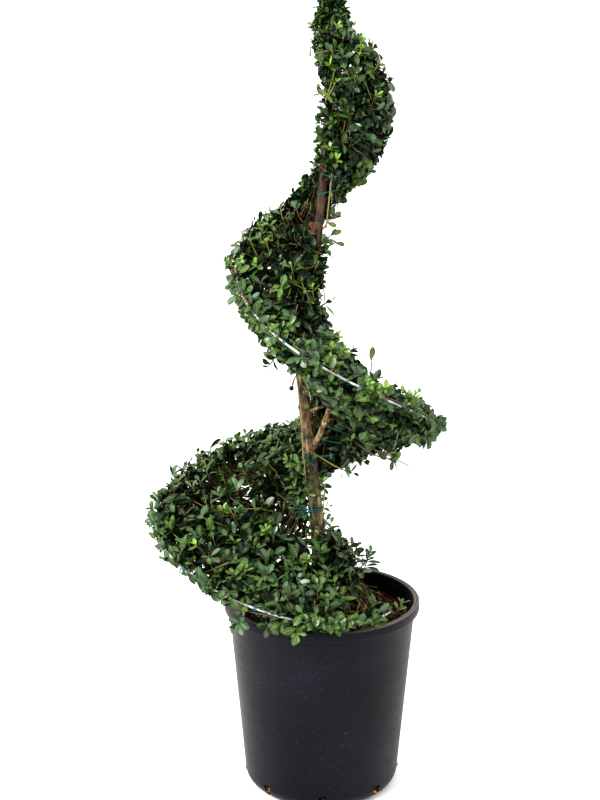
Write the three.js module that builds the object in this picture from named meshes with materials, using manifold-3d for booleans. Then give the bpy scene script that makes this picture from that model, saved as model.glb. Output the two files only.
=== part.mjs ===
// Spiral topiary: small-leaved privet clipped to a ribbon that climbs round its trunk, in its nursery pot.
// Millimetres, +Z up. The origin is the centre of the pot's flat underside, and the plant faces -Y.

import * as THREE from "three";
import { mergeVertices } from "three/addons/utils/BufferGeometryUtils.js";
import Module from "manifold-3d";

const wasm = await Module();
wasm.setup();

// Driving dimensions

const GAP = 0.3; // between a piece and what carries it
const WELD = 0.01;

const POT = {
  height: 297,
  footRadius: 100, // the flat that it stands on
  cornerHeight: 22, // rounded corner above the foot
  cornerRadius: 119, // of the wall where the corner ends
  shoulderRadius: 142.5, // of the wall just under the lip
  lipHeight: 14,
  lipRadius: 150,
  wall: 2.5,
  floor: 4.5,
  sides: 40,
};
const SLOT = { count: 8, width: 11, innerRadius: 90, height: 23 }; // drainage slots through the corner
const SOIL_TOP = 270;

const TRUNK = {
  top: 1150,
  footRadius: 11.5,
  tipRadius: 3,
  flare: 7, // added to the radius at the soil
  flareHeight: 22,
  sides: 8,
  steps: 24,
};
// Height, sideways lean and front-to-back lean of the trunk's centre line.
const TRUNK_LINE = [
  [SOIL_TOP, -2, 0],
  [400, -6, 3],
  [520, -19, 4],
  [643, -29, 0],
  [750, -23, -4],
  [853, -8, -3],
  [1040, 7, 2],
  [1150, 12, 1],
];

// The clipped ribbon, once each quarter turn. It climbs clockwise seen from above, from turn 0 on the right
// through the front (a quarter) and the left (a half). reach is from the trunk to the edge, edge is the
// height of the edge's middle and half its half thickness, and top, foot and sleeve are heights beside the
// trunk: of the ribbon's upper face, its lower face and the foliage left round the trunk above it.
const COLUMNS = ["turn", "reach", "edge", "half", "top", "foot", "sleeve"];
const RIBBON = [
  [-0.3, 66, 300, 26, 345, 272, 345],
  [0.0, 108, 310, 30, 418, 272, 418],
  [0.25, 168, 325, 27, 395, 275, 395],
  [0.5, 251, 419, 31, 470, 340, 470],
  [0.75, 232, 501, 29, 576, 450, 596],
  [1.0, 200, 573, 32, 690, 506, 818],
  [1.25, 147, 694, 28, 828, 638, 847],
  [1.5, 118, 818, 35, 915, 712, 947],
  [1.75, 101, 910, 41, 999, 840, 1034],
  [2.0, 96, 1028, 69, 1130, 888, 1145],
  [2.25, 60, 1106, 58, 1172, 945, 1180],
  [2.5, 27, 1136, 30, 1176, 1085, 1182],
  [2.7, 22, 1150, 26, 1180, 1110, 1182],
];
const SLEEVE_RADIUS = 24;
const RIBBON_TOP = 1148; // the ribbon ends below this height, and the tip stands above it

// Masses of foliage along the ribbon: name, first turn and last turn.
const MASSES = [
  ["foliage_foot_back", -0.3, -0.06],
  ["foliage_foot_right", -0.06, 0.14],
  ["foliage_foot_front", 0.14, 0.36],
  ["foliage_low_left", 0.36, 0.61],
  ["foliage_low_back", 0.61, 0.86],
  ["foliage_middle_right", 0.86, 1.1],
  ["foliage_middle_front", 1.1, 1.36],
  ["foliage_middle_left", 1.36, 1.62],
  ["foliage_middle_back", 1.62, 1.87],
  ["foliage_high_right", 1.87, 2.12],
  ["foliage_high_front", 2.12, 2.38],
  ["foliage_high_left", 2.38, 2.7],
];
// The tip is a plume on the trunk's flat top, leaning to the left.
const TIP = { base: 1152, top: 1224, radius: 29, lean: -4, stemRadius: 2.6, depth: 10, scale: 0.6 };
const TIP_RINGS = [8, 7, 6, 4, 1]; // twigs in each ring of the plume, from its foot up

const LEAF = { length: 44, widthShare: 0.5, widest: 0.56, thicknessShare: 0.05, perTwig: 5 };
const TWIG_RADIUS = 2;
const TWIG_SPACING = 68; // between twigs on the clipped faces
const CORE_DEPTH = 14; // of the dense core below the clipped face
const CAP_DEPTH = 1.5; // of the core below the level top, where the tip goes on above it
const PROUD = 3; // that a leaf may stand past the clipped face
const BERRY_RADIUS = 4.5;

const WIRE = { radius: 2, inset: 6, first: 0.04, last: 2.05, sides: 6, steps: 48 };
// Turn, and how far the training wire runs above the middle of the edge.
const WIRE_LIFT = [
  [0, -12],
  [0.3, -8],
  [0.5, -7],
  [1.0, 0],
  [1.2, 9],
  [1.5, 12],
  [2.05, 8],
];
// The bough leaves the trunk at its base height, bends upwards and enters the mass above it at its tip.
const BOUGH = { turn: 1.17, base: 531, bend: [30, 545], tip: [75, 612], baseRadius: 5, tipRadius: 3.2 };

// Coated wire wound round the trunk: height of each winding and its number of turns.
const TIE_WIRE = 1.8;
const TIES = [
  [388, 1],
  [415, 1],
  [440, 5],
  [461, 1],
  [495, 2],
  [517, 6],
  [553, 1],
  [597, 2],
  [855, 1],
  [876, 1],
  [916, 2],
  [943, 1],
];

const PAINT = {
  pot: [0x2b2c30, 0.45],
  soil: [0x4a3323, 0.95],
  bark: [0x8a6b4c, 0.85],
  foliage: [0x2f5030, 0.5],
  wire: [0xd9d9d4, 0.4],
  tie: [0x1f6b66, 0.5],
};

// Small helpers

const materials = Object.fromEntries(
  Object.entries(PAINT).map(([name, [color, roughness]]) => [
    name,
    new THREE.MeshStandardMaterial({ color, roughness, metalness: 0 }),
  ]),
);

// A repeatable stream of numbers from 0 to 1.
function seeded(seed) {
  let state = seed;
  return () => {
    state = (state + 0x6d2b79f5) | 0;
    let mixed = Math.imul(state ^ (state >>> 15), 1 | state);
    mixed = (mixed + Math.imul(mixed ^ (mixed >>> 7), 61 | mixed)) ^ mixed;
    return ((mixed ^ (mixed >>> 14)) >>> 0) / 4294967296;
  };
}

// The columns after the first at a value of the first, on a smooth curve through the rows.
function smoothRow(rows, at) {
  let low = 0;
  while (low < rows.length - 2 && rows[low + 1][0] < at) low += 1;
  const [before, after] = [rows[low], rows[low + 1]];
  const span = after[0] - before[0];
  const t = (at - before[0]) / span;
  const slope = (row, column) => {
    const [a, b] = [rows[Math.max(row - 1, 0)], rows[Math.min(row + 1, rows.length - 1)]];
    return (b[column] - a[column]) / (b[0] - a[0]);
  };
  return before.slice(1).map((value, index) => {
    const column = index + 1;
    const [bendIn, bendOut] = [slope(low, column) * span, slope(low + 1, column) * span];
    const rise = after[column] - value;
    const square = 3 * rise - 2 * bendIn - bendOut;
    const cube = bendIn + bendOut - 2 * rise;
    return value + t * bendIn + t ** 2 * square + t ** 3 * cube;
  });
}

function trunkAt(height) {
  const [x, y] = smoothRow(TRUNK_LINE, THREE.MathUtils.clamp(height, SOIL_TOP, TRUNK.top));
  return new THREE.Vector3(x, y, height);
}

function trunkRadius(height) {
  const up = THREE.MathUtils.clamp((height - SOIL_TOP) / (TRUNK.top - SOIL_TOP), 0, 1);
  const flare = TRUNK.flare * Math.exp(-Math.max(height - SOIL_TOP, 0) / TRUNK.flareHeight);
  return THREE.MathUtils.lerp(TRUNK.footRadius, TRUNK.tipRadius, up ** 1.2) + flare;
}

// The ribbon's named sizes at a turn.
function ribbonAt(turn) {
  const sizes = smoothRow(RIBBON, turn);
  return Object.fromEntries(COLUMNS.slice(1).map((name, index) => [name, sizes[index]]));
}

// Heights of the clipped upper and lower faces at a distance from the trunk.
function facesAt(turn, distance) {
  const { reach, edge, half, top, foot, sleeve } = ribbonAt(turn);
  const round = Math.min(0.9 * half, 0.45 * reach);
  const sleeveRadius = Math.min(SLEEVE_RADIUS, 0.22 * reach);
  const out = THREE.MathUtils.clamp((distance - sleeveRadius) / (reach - round - sleeveRadius), 0, 1);
  let upper = edge + half + Math.max(top - edge - half, 0) * (1 - out) ** 1.35;
  let lower = edge - half - (edge - half - foot) * (1 - out) ** 1.3;
  if (distance < sleeveRadius) upper = Math.max(upper, sleeve);
  const intoRound = Math.min((distance - reach + round) / round, 1);
  if (intoRound > 0) {
    upper = edge + half * Math.sqrt(1 - intoRound ** 2);
    lower = edge - half * Math.sqrt(1 - intoRound ** 2);
  }
  return { upper: Math.min(upper, RIBBON_TOP), lower };
}

// How far the dense core stays below the clipped face.
function depthAt(turn) {
  const { reach, half } = ribbonAt(turn);
  return Math.min(CORE_DEPTH, 0.42 * half, 0.36 * reach);
}

// A point of the ribbon from its turn, its distance from the trunk and its height.
function ribbonPoint(turn, distance, height) {
  const angle = -2 * Math.PI * turn;
  return trunkAt(height).add(new THREE.Vector3(Math.cos(angle), Math.sin(angle), 0).multiplyScalar(distance));
}

// Solids

function solidFrom(geometry, weld = 1e-4) {
  const bare = geometry.clone();
  bare.deleteAttribute("normal");
  bare.deleteAttribute("uv");
  const merged = mergeVertices(bare, weld);
  return new wasm.Manifold(
    new wasm.Mesh({
      numProp: 3,
      vertProperties: new Float32Array(merged.attributes.position.array),
      triVerts: new Uint32Array(merged.index.array),
    }),
  );
}

function geometryFrom(solid) {
  const { vertProperties, triVerts } = solid.getMesh();
  const geometry = new THREE.BufferGeometry();
  geometry.setAttribute("position", new THREE.BufferAttribute(vertProperties, 3));
  geometry.setIndex(new THREE.BufferAttribute(triVerts, 1));
  geometry.computeVertexNormals();
  return geometry;
}

// The largest outer skin of a joined solid, without loose scraps and with sealed hollows filled. Edges
// shorter than the weld are closed up first, and corners that the join left a hair apart are welded.
function largestBody(solid) {
  const bodies = solidFrom(geometryFrom(solid.simplify(WELD)), WELD / 5).decompose();
  return bodies.reduce((best, body) => (body.volume() > best.volume() ? body : best)).simplify(WELD);
}

const plant = new THREE.Group();

function addPiece(name, geometry, material) {
  const mesh = new THREE.Mesh(geometry, material);
  mesh.name = name;
  plant.add(mesh);
  return mesh;
}

// A tapering limb: a cylinder bent along a centre line, with flat ends.
function limbGeometry(centreAt, radiusAt, sides, steps) {
  const geometry = new THREE.CylinderGeometry(1, 1, 1, sides, steps);
  const position = geometry.attributes.position;
  const up = new THREE.Vector3(0, 0, 1);
  for (let index = 0; index < position.count; index += 1) {
    const along = position.getY(index) + 0.5;
    const centre = centreAt(along);
    const ahead = centreAt(Math.min(along + 0.01, 1)).sub(centreAt(Math.max(along - 0.01, 0))).normalize();
    const turned = new THREE.Quaternion().setFromUnitVectors(up, ahead);
    const ring = new THREE.Vector3(position.getX(index), -position.getZ(index), 0);
    ring.multiplyScalar(radiusAt(along)).applyQuaternion(turned);
    position.setXYZ(index, centre.x + ring.x, centre.y + ring.y, centre.z + ring.z);
  }
  return geometry;
}

// A straight tapering limb between two points.
function straightLimb(from, to, fromRadius, toRadius, sides) {
  const centreAt = (along) => from.clone().lerp(to, along);
  const radiusAt = (along) => THREE.MathUtils.lerp(fromRadius, toRadius, along);
  return limbGeometry(centreAt, radiusAt, sides, 1);
}

// Level rings round the trunk's centre line, so that its foot is cut flat.
function trunkGeometry(extra, from, to) {
  const geometry = new THREE.CylinderGeometry(1, 1, 1, TRUNK.sides, TRUNK.steps);
  const position = geometry.attributes.position;
  for (let index = 0; index < position.count; index += 1) {
    const height = THREE.MathUtils.lerp(from, to, (position.getY(index) + 0.5) ** 1.3);
    const centre = trunkAt(height);
    const radius = trunkRadius(height) + extra;
    const [x, y] = [position.getX(index) * radius, -position.getZ(index) * radius];
    position.setXYZ(index, centre.x + x, centre.y + y, height);
  }
  return geometry;
}

// Pot and soil

// Points on the rounded corner between the foot and the wall, from the foot upwards.
function cornerPoints(inset, floor) {
  const { footRadius, cornerRadius, cornerHeight } = POT;
  return [0, 45, 90].map((degrees) => {
    const angle = THREE.MathUtils.degToRad(degrees);
    const radius = footRadius + (cornerRadius - footRadius) * Math.sin(angle) - inset;
    return new THREE.Vector2(radius, floor + (cornerHeight - floor) * (1 - Math.cos(angle)));
  });
}

function makePot() {
  const { height, shoulderRadius, lipHeight, lipRadius, wall, floor, sides } = POT;
  const shoulder = height - lipHeight;
  const profile = [
    new THREE.Vector2(0, 0),
    ...cornerPoints(0, 0),
    new THREE.Vector2(shoulderRadius, shoulder - 1),
    new THREE.Vector2(lipRadius - 0.8, shoulder),
    new THREE.Vector2(lipRadius, shoulder + 1.5),
    new THREE.Vector2(lipRadius, height - 3),
    new THREE.Vector2(lipRadius - 3, height),
    new THREE.Vector2(shoulderRadius - wall + 2, height),
    new THREE.Vector2(shoulderRadius - wall, height - 4),
    new THREE.Vector2(shoulderRadius - wall, shoulder - 1),
    ...cornerPoints(wall, floor).reverse(),
    new THREE.Vector2(0, floor),
  ];
  let pot = solidFrom(new THREE.LatheGeometry(profile, sides).rotateX(Math.PI / 2));
  const slotLength = POT.cornerRadius + 10 - SLOT.innerRadius;
  for (let index = 0; index < SLOT.count; index += 1) {
    const slot = new THREE.BoxGeometry(slotLength, SLOT.width, SLOT.height + 5)
      .translate(SLOT.innerRadius + slotLength / 2, 0, (SLOT.height - 5) / 2)
      .rotateZ((2 * Math.PI * index) / SLOT.count);
    pot = pot.subtract(solidFrom(slot));
  }
  addPiece("pot", geometryFrom(largestBody(pot)), materials.pot);
}

// Wall radius inside the pot at a height above the corner.
function insideRadius(height) {
  const up = (height - POT.cornerHeight) / (POT.height - POT.lipHeight - POT.cornerHeight);
  return THREE.MathUtils.lerp(POT.cornerRadius, POT.shoulderRadius, up) - POT.wall;
}

function makeSoil() {
  const rim = SOIL_TOP - 4;
  const profile = [
    new THREE.Vector2(0, POT.floor + GAP),
    ...cornerPoints(POT.wall + GAP, POT.floor + GAP),
    new THREE.Vector2(insideRadius(rim) - GAP, rim),
    new THREE.Vector2(0.93 * insideRadius(rim), SOIL_TOP),
    new THREE.Vector2(0, SOIL_TOP),
  ];
  addPiece("soil", new THREE.LatheGeometry(profile, POT.sides).rotateX(Math.PI / 2), materials.soil);
}

// Trunk, bough, training wire and ties

function makeTrunk() {
  addPiece("trunk", trunkGeometry(0, SOIL_TOP + GAP, TRUNK.top), materials.bark);
}

const boughLine = new THREE.QuadraticBezierCurve3(
  ribbonPoint(BOUGH.turn, 0, BOUGH.base),
  ribbonPoint(BOUGH.turn, ...BOUGH.bend),
  ribbonPoint(BOUGH.turn, ...BOUGH.tip),
);
const boughSpots = boughLine.getSpacedPoints(20);

function boughGeometry(extra) {
  const radiusAt = (along) => THREE.MathUtils.lerp(BOUGH.baseRadius, BOUGH.tipRadius, along) + extra;
  const stretch = 1 + extra / boughLine.getLength();
  return limbGeometry((along) => boughLine.getPoint(along * stretch), radiusAt, 6, 6);
}

function makeBough() {
  const cut = solidFrom(boughGeometry(0)).subtract(solidFrom(trunkGeometry(GAP, SOIL_TOP, TRUNK.top)));
  addPiece("bough_right", geometryFrom(largestBody(cut)), materials.bark);
}

// The rod stands upright on the soil, bends over and then runs just inside the ribbon's edge.
function wirePoint(along) {
  const moved = Math.max(along - 0.01, 0);
  const turn = WIRE.first + ((WIRE.last - WIRE.first) * moved * moved) / (moved + 0.03);
  const { reach, edge } = ribbonAt(turn);
  const rise = 1 - (1 - Math.min(along / 0.09, 1)) ** 2;
  const [lift] = smoothRow(WIRE_LIFT, turn);
  const height = THREE.MathUtils.lerp(SOIL_TOP + GAP, edge + lift, rise);
  return ribbonPoint(turn, reach - WIRE.inset, height);
}

function makeTrainingWire() {
  const rod = limbGeometry(wirePoint, () => WIRE.radius, WIRE.sides, WIRE.steps);
  addPiece("training_wire", rod, materials.wire);
}

function makeTies() {
  TIES.forEach(([height, turns], index) => {
    const inner = (trunkRadius(height) + GAP) / Math.cos(Math.PI / TRUNK.sides) + 0.1;
    const [outer, half] = [inner + TIE_WIRE, (turns * TIE_WIRE) / 2];
    const profile = [
      new THREE.Vector2(inner, -half),
      new THREE.Vector2(outer, -half),
      new THREE.Vector2(outer, half),
      new THREE.Vector2(inner, half),
      new THREE.Vector2(inner, -half),
    ];
    const tie = new THREE.LatheGeometry(profile, TRUNK.sides).rotateX(Math.PI / 2);
    const name = `tie_${String(index + 1).padStart(2, "0")}`;
    const lean = trunkAt(height + 5).sub(trunkAt(height - 5)).normalize();
    const mesh = addPiece(name, tie, materials.tie);
    mesh.quaternion.setFromUnitVectors(new THREE.Vector3(0, 0, 1), lean);
    mesh.position.copy(trunkAt(height));
  });
}

// Foliage

const wireSteps = 4 * WIRE.steps;
const wireSpots = Array.from({ length: wireSteps + 1 }, (_, index) => wirePoint(index / wireSteps));

// Whether a point of a twig or leaf is clear of the trunk with its ties, the bough, the wire, the pot and the
// soil.
function clearOfLimbs(point) {
  const beside = point.clone().sub(trunkAt(point.z));
  if (point.z < TRUNK.top && Math.hypot(beside.x, beside.y) < trunkRadius(point.z) + 4) return false;
  if (boughSpots.some((spot) => spot.distanceTo(point) < BOUGH.baseRadius + 2)) return false;
  if (wireSpots.some((spot) => spot.distanceTo(point) < WIRE.radius + 4)) return false;
  if (point.z < SOIL_TOP + 1) return false;
  const fromAxis = Math.hypot(point.x, point.y);
  const insidePot = fromAxis < insideRadius(SOIL_TOP) - 2;
  return point.z > POT.height + 1 || insidePot || fromAxis > POT.lipRadius + 1;
}

// Whether a point keeps to the ribbon between two turns.
function insideRibbon(point, first, last) {
  const beside = point.clone().sub(trunkAt(point.z));
  const distance = Math.hypot(beside.x, beside.y);
  const middle = (first + last) / 2;
  const part = -Math.atan2(beside.y, beside.x) / (2 * Math.PI);
  const turn = part + Math.round(middle - part);
  const margin = 0.8 / (2 * Math.PI * Math.max(distance, 1));
  if (turn < first + margin || turn > last - margin) return false;
  const { reach } = ribbonAt(turn);
  const { upper, lower } = facesAt(turn, Math.min(distance, reach));
  return distance < reach + PROUD && point.z < upper + PROUD && point.z > lower - PROUD;
}

// A leaf of six faces: a three-sided ball drawn out from root to tip, widest past its middle, with its two
// sides raised from the rib.
function leafGeometry(root, direction, face, length) {
  const leaf = new THREE.SphereGeometry(1, 3, 2);
  const position = leaf.attributes.position;
  const across = new THREE.Vector3().crossVectors(face, direction).normalize();
  for (let index = 0; index < position.count; index += 1) {
    const [rib, pole, side] = [position.getX(index), position.getY(index), position.getZ(index)];
    const along = Math.abs(pole) > 0.5 ? (pole + 1) / 2 : LEAF.widest;
    const point = root
      .clone()
      .addScaledVector(direction, along * length)
      .addScaledVector(across, (side * length * LEAF.widthShare) / Math.sqrt(3))
      .addScaledVector(face, rib * length * LEAF.thicknessShare);
    position.setXYZ(index, point.x, point.y, point.z);
  }
  return leaf;
}

// Spots on every face: its corners, two on each side and its centre.
function spotsOn(geometry) {
  const bare = geometry.index ? geometry.toNonIndexed() : geometry;
  const position = bare.attributes.position;
  const corner = (index) => new THREE.Vector3().fromBufferAttribute(position, index);
  return Array.from({ length: position.count }, (_, index) => {
    const face = index - (index % 3);
    const next = index % 3 === 2 ? face : index + 1;
    const centre = corner(face).add(corner(face + 1)).add(corner(face + 2)).divideScalar(3);
    const between = (share) => corner(index).lerp(corner(next), share);
    return [corner(index), between(1 / 3), between(2 / 3), centre];
  }).flat();
}

// A twig from a fork inside the mass, with leaves in crossed pairs whose tips reach the clipped face. A leaf
// that would leave the mass is bent back, and skipped if it still would.
function growTwig(pieces, spot, keepsIn, random) {
  const { fork, face, outward, depth, scale, berry } = spot;
  const fits = (geometry) => spotsOn(geometry).every((point) => keepsIn(point) && clearOfLimbs(point));
  const end = face.clone().addScaledVector(outward, -0.3 * depth);
  const twig = straightLimb(fork, end, TWIG_RADIUS * 1.3, TWIG_RADIUS, 3);
  if (!fits(twig)) return;
  pieces.push(solidFrom(twig));
  const side = new THREE.Vector3(outward.y, -outward.x, 0.1).cross(outward).normalize();
  const spin = random() * 2 * Math.PI;
  const along = end.clone().sub(fork).normalize();
  for (let index = 0; index < LEAF.perTwig; index += 1) {
    const length = LEAF.length * scale * (0.85 + 0.3 * random());
    const below = 1 + 0.11 * depth * index;
    const around = side.clone().applyAxisAngle(along, spin + index * 2.1 + 0.4 * random());
    for (const lean of [1, 1.25, 0.7, 1.5]) {
      const direction = along.clone().multiplyScalar(Math.cos(lean)).addScaledVector(around, Math.sin(lean));
      const upside = along.clone().multiplyScalar(Math.sin(lean)).addScaledVector(around, -Math.cos(lean));
      const root = end.clone().addScaledVector(along, -below).addScaledVector(direction, 0.3);
      const leaf = leafGeometry(root, direction, upside, length);
      if (!fits(leaf)) continue;
      pieces.push(solidFrom(leaf));
      break;
    }
  }
  if (berry) {
    const place = end.clone().addScaledVector(along, BERRY_RADIUS * 0.7);
    const fruit = new THREE.IcosahedronGeometry(BERRY_RADIUS, 0).translate(place.x, place.y, place.z);
    if (fits(fruit)) pieces.push(solidFrom(fruit));
  }
}

// The dense core: a box bent into the ribbon's shape, a little below its clipped faces.
function coreGeometry(first, last) {
  const core = new THREE.BoxGeometry(1, 1, 1, 4, Math.round((last - first) * 17), 3);
  const position = core.attributes.position;
  for (let index = 0; index < position.count; index += 1) {
    const turnShare = position.getY(index) + 0.5;
    const middleTurn = THREE.MathUtils.lerp(first, last, turnShare);
    const { reach } = ribbonAt(middleTurn);
    const depth = depthAt(middleTurn);
    const out = (position.getX(index) + 0.5) ** 0.8;
    const distance = THREE.MathUtils.lerp(4, reach - Math.max(depth, CORE_DEPTH - 3), out);
    const sideGap = 0.7 / (2 * Math.PI * distance);
    const turn = THREE.MathUtils.lerp(first + sideGap, last - sideGap, turnShare);
    const { upper, lower } = facesAt(turn, distance);
    const capped = upper >= RIBBON_TOP ? depth - CAP_DEPTH : 0;
    const room = Math.max(upper - lower - 2 * depth + capped, 3) / 2;
    const middle = (upper + lower + capped) / 2;
    const height = middle + 2 * position.getZ(index) * room * (out > 0.99 ? 0.7 : 1);
    const point = ribbonPoint(turn, distance, height);
    position.setXYZ(index, point.x, point.y, point.z);
  }
  // The ribbon climbs clockwise, so the bent box is a mirror image and its faces are turned round.
  const order = core.index.array;
  for (let index = 0; index < order.length; index += 3) {
    [order[index + 1], order[index + 2]] = [order[index + 2], order[index + 1]];
  }
  return core;
}

// The clipped outline of the ribbon's cut face at a turn, as distances from the trunk and heights: from the
// upper face beside the trunk, round the edge and back along the lower face.
function outlineAt(turn) {
  const { reach } = ribbonAt(turn);
  const shares = [0.08, 0.15, 0.21, 0.23, 0.35, 0.5, 0.65, 0.75, 0.83, 0.9, 0.95, 0.98, 0.995, 1];
  const point = (name, distance) => new THREE.Vector2(distance, facesAt(turn, distance)[name]);
  const side = (name) => shares.map((share) => point(name, share * reach));
  return new THREE.Path([...side("upper"), ...side("lower").reverse().slice(1)]);
}

function outlinePoint(turn, share) {
  const { x, y } = outlineAt(turn).getPoint(THREE.MathUtils.clamp(share, 0, 1));
  return ribbonPoint(turn, x, y);
}

// Evenly spread spots on the clipped faces between two turns, each with the fork that its twig grows from.
function ribbonSpots(first, last, random) {
  const spots = [];
  const { reach } = ribbonAt((first + last) / 2);
  const scale = Math.min(0.55 + reach / 530, 1); // the leaves grow closer and smaller higher up
  const spacing = TWIG_SPACING * scale;
  const rows = Math.max(2, Math.round((2 * Math.PI * (last - first) * 0.8 * reach) / spacing));
  for (let row = 0; row < rows; row += 1) {
    const rowTurn = THREE.MathUtils.lerp(first, last, (row + 0.5) / rows);
    const count = Math.round(outlineAt(rowTurn).getLength() / spacing);
    for (let index = 0; index < count; index += 1) {
      const turn = rowTurn + ((random() - 0.5) * 0.5 * (last - first)) / rows;
      const share = Math.min((index + 0.5 * ((row % 2) + random())) / count, 1);
      const { x: distance, y: height } = outlineAt(turn).getPoint(share);
      if (random() * 0.6 * reach > distance) continue;
      const face = ribbonPoint(turn, distance, height);
      const alongTurn = outlinePoint(turn + 0.01, share).sub(outlinePoint(turn - 0.01, share));
      const alongOutline = outlinePoint(turn, share + 0.02).sub(outlinePoint(turn, share - 0.02));
      const outward = new THREE.Vector3().crossVectors(alongTurn, alongOutline).normalize();
      const { upper, lower } = facesAt(turn, 0.8 * distance);
      const fork = ribbonPoint(turn, 0.8 * distance, (upper + lower) / 2);
      if (outward.dot(fork.clone().sub(face)) > 0) outward.negate();
      spots.push({ fork, face, outward, depth: depthAt(turn), scale });
    }
  }
  return spots;
}

// Joins a mass and cuts its seat clear of the trunk and the bough.
function joinMass(name, pieces) {
  const seated = wasm.Manifold.union(pieces)
    .subtract(solidFrom(trunkGeometry(GAP, SOIL_TOP - 5, TRUNK.top + GAP)))
    .subtract(solidFrom(boughGeometry(GAP)));
  addPiece(name, geometryFrom(largestBody(seated)), materials.foliage);
}

function makeRibbonMass([name, first, last], order) {
  const random = seeded(600 + order);
  const middle = (first + last) / 2;
  const { reach, edge, top, foot } = ribbonAt(middle);
  const nearTrunk = solidFrom(trunkGeometry(4, SOIL_TOP - 5, TRUNK.top + 20));
  const core = largestBody(solidFrom(coreGeometry(first, last)).subtract(nearTrunk));
  const onBough = BOUGH.turn > first && BOUGH.turn < last;
  const stemRoot = onBough ? boughLine.getPoint(0.97) : ribbonPoint(middle, 0, foot + 0.32 * (top - foot));
  const stem = straightLimb(stemRoot, ribbonPoint(middle, 0.45 * reach, edge), 3.2, 2, 5);
  const pieces = [core, solidFrom(stem)];
  const keepsIn = (point) => insideRibbon(point, first, last);
  ribbonSpots(first, last, random).forEach((spot, index) => {
    spot.berry = middle > 1 && index % 6 === 2;
    growTwig(pieces, spot, keepsIn, random);
  });
  joinMass(name, pieces);
}

function tipCentre(height) {
  const up = (height - TIP.base) / (TIP.top - TIP.base);
  const foot = trunkAt(TRUNK.top);
  return new THREE.Vector3(foot.x + TIP.lean * up, foot.y, height);
}

function tipRadius(height) {
  const up = THREE.MathUtils.clamp((height - TIP.base) / (TIP.top - TIP.base), 0, 1);
  return TIP.radius * (1 - up) ** 0.8;
}

function makeTip() {
  const random = seeded(900);
  const { base, top, depth, stemRadius, scale } = TIP;
  const heightAt = (along) => THREE.MathUtils.lerp(base + 1, top - 1.6 * depth, along);
  const coreRadius = (along) => tipRadius(heightAt(along)) - 0.5 * depth;
  const core = limbGeometry((along) => tipCentre(heightAt(along)), coreRadius, 8, 4);
  const stem = straightLimb(tipCentre(TRUNK.top + GAP), tipCentre(base + 30), stemRadius, stemRadius, 5);
  const pieces = [solidFrom(stem), solidFrom(core)];
  const keepsIn = (point) => {
    const away = Math.hypot(point.x - tipCentre(point.z).x, point.y - tipCentre(point.z).y);
    return point.z > base && point.z < top && away < tipRadius(point.z) + PROUD;
  };
  const up = new THREE.Vector3(0, 0, 1);
  TIP_RINGS.forEach((count, ring) => {
    const share = ring / (TIP_RINGS.length - 1);
    const height = THREE.MathUtils.lerp(base + 8, top - 14, share);
    for (let index = 0; index < count; index += 1) {
      const angle = (2 * Math.PI * (index + 0.5 * ring + 0.3 * random())) / count;
      const level = new THREE.Vector3(Math.cos(angle), Math.sin(angle), 0);
      const outward = count === 1 ? up : level.clone().addScaledVector(up, 0.3).normalize();
      const beside = tipCentre(height).addScaledVector(level, tipRadius(height));
      const face = count === 1 ? tipCentre(top - 4) : beside;
      growTwig(pieces, { fork: tipCentre(height - 6), face, outward, depth, scale }, keepsIn, random);
    }
  });
  joinMass("foliage_tip", pieces);
}

makePot();
makeSoil();
makeTrunk();
makeBough();
makeTrainingWire();
makeTies();
MASSES.forEach(makeRibbonMass);
makeTip();

export default plant;
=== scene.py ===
# %% [markdown]
# # A privet spiral in its nursery pot
#
# The plant is a small-leaved privet, trained up a bare trunk and clipped so that its foliage is a thin ribbon
# that climbs round the trunk in about three turns. It stands in a black nursery pot filled with bark mix.
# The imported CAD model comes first, because it fixes every place and size. Each foliage solid in it is then
# replaced by real boughs, twigs and leaves that keep to the same space.

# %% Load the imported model
import math

import bmesh
import bpy
import numpy as np
from mathutils import Matrix, Vector, noise


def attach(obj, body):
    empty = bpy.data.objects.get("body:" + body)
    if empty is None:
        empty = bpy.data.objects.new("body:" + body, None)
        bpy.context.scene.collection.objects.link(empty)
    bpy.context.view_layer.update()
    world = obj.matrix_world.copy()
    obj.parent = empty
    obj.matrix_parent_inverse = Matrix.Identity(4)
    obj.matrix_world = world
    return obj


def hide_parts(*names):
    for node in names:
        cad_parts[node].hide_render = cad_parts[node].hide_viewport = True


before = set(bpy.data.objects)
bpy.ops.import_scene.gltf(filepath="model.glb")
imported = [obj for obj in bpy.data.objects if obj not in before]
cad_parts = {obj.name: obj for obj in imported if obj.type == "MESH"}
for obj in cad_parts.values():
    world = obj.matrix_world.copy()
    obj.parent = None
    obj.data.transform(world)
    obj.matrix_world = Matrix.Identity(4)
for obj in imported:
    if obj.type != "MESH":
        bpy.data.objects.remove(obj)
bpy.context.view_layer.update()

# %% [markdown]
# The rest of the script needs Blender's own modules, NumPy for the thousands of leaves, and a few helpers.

MM = 0.001  # all sizes below are in millimetres, and Blender's are in metres
scene = bpy.context.scene
print("CAD nodes:", len(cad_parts))

# %% [markdown]
# ## Sizes
# These are the plant's own sizes. The ribbon has one row for each quarter turn, and a smooth curve runs
# through the rows. It climbs clockwise seen from above: turn 0 is on the right, a quarter is in front, and a
# half is on the left.

# %% Named sizes
SOIL_TOP = 270
POT = {
    "height": 297, "foot_radius": 100, "corner_height": 22, "corner_radius": 119,
    "shoulder_radius": 142.5, "lip_height": 14, "lip_radius": 150, "wall": 2.5, "floor": 4.5,
}
SLOT = {"count": 8, "width": 11, "inner_radius": 90, "height": 23, "cutter_length": 60}

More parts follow.
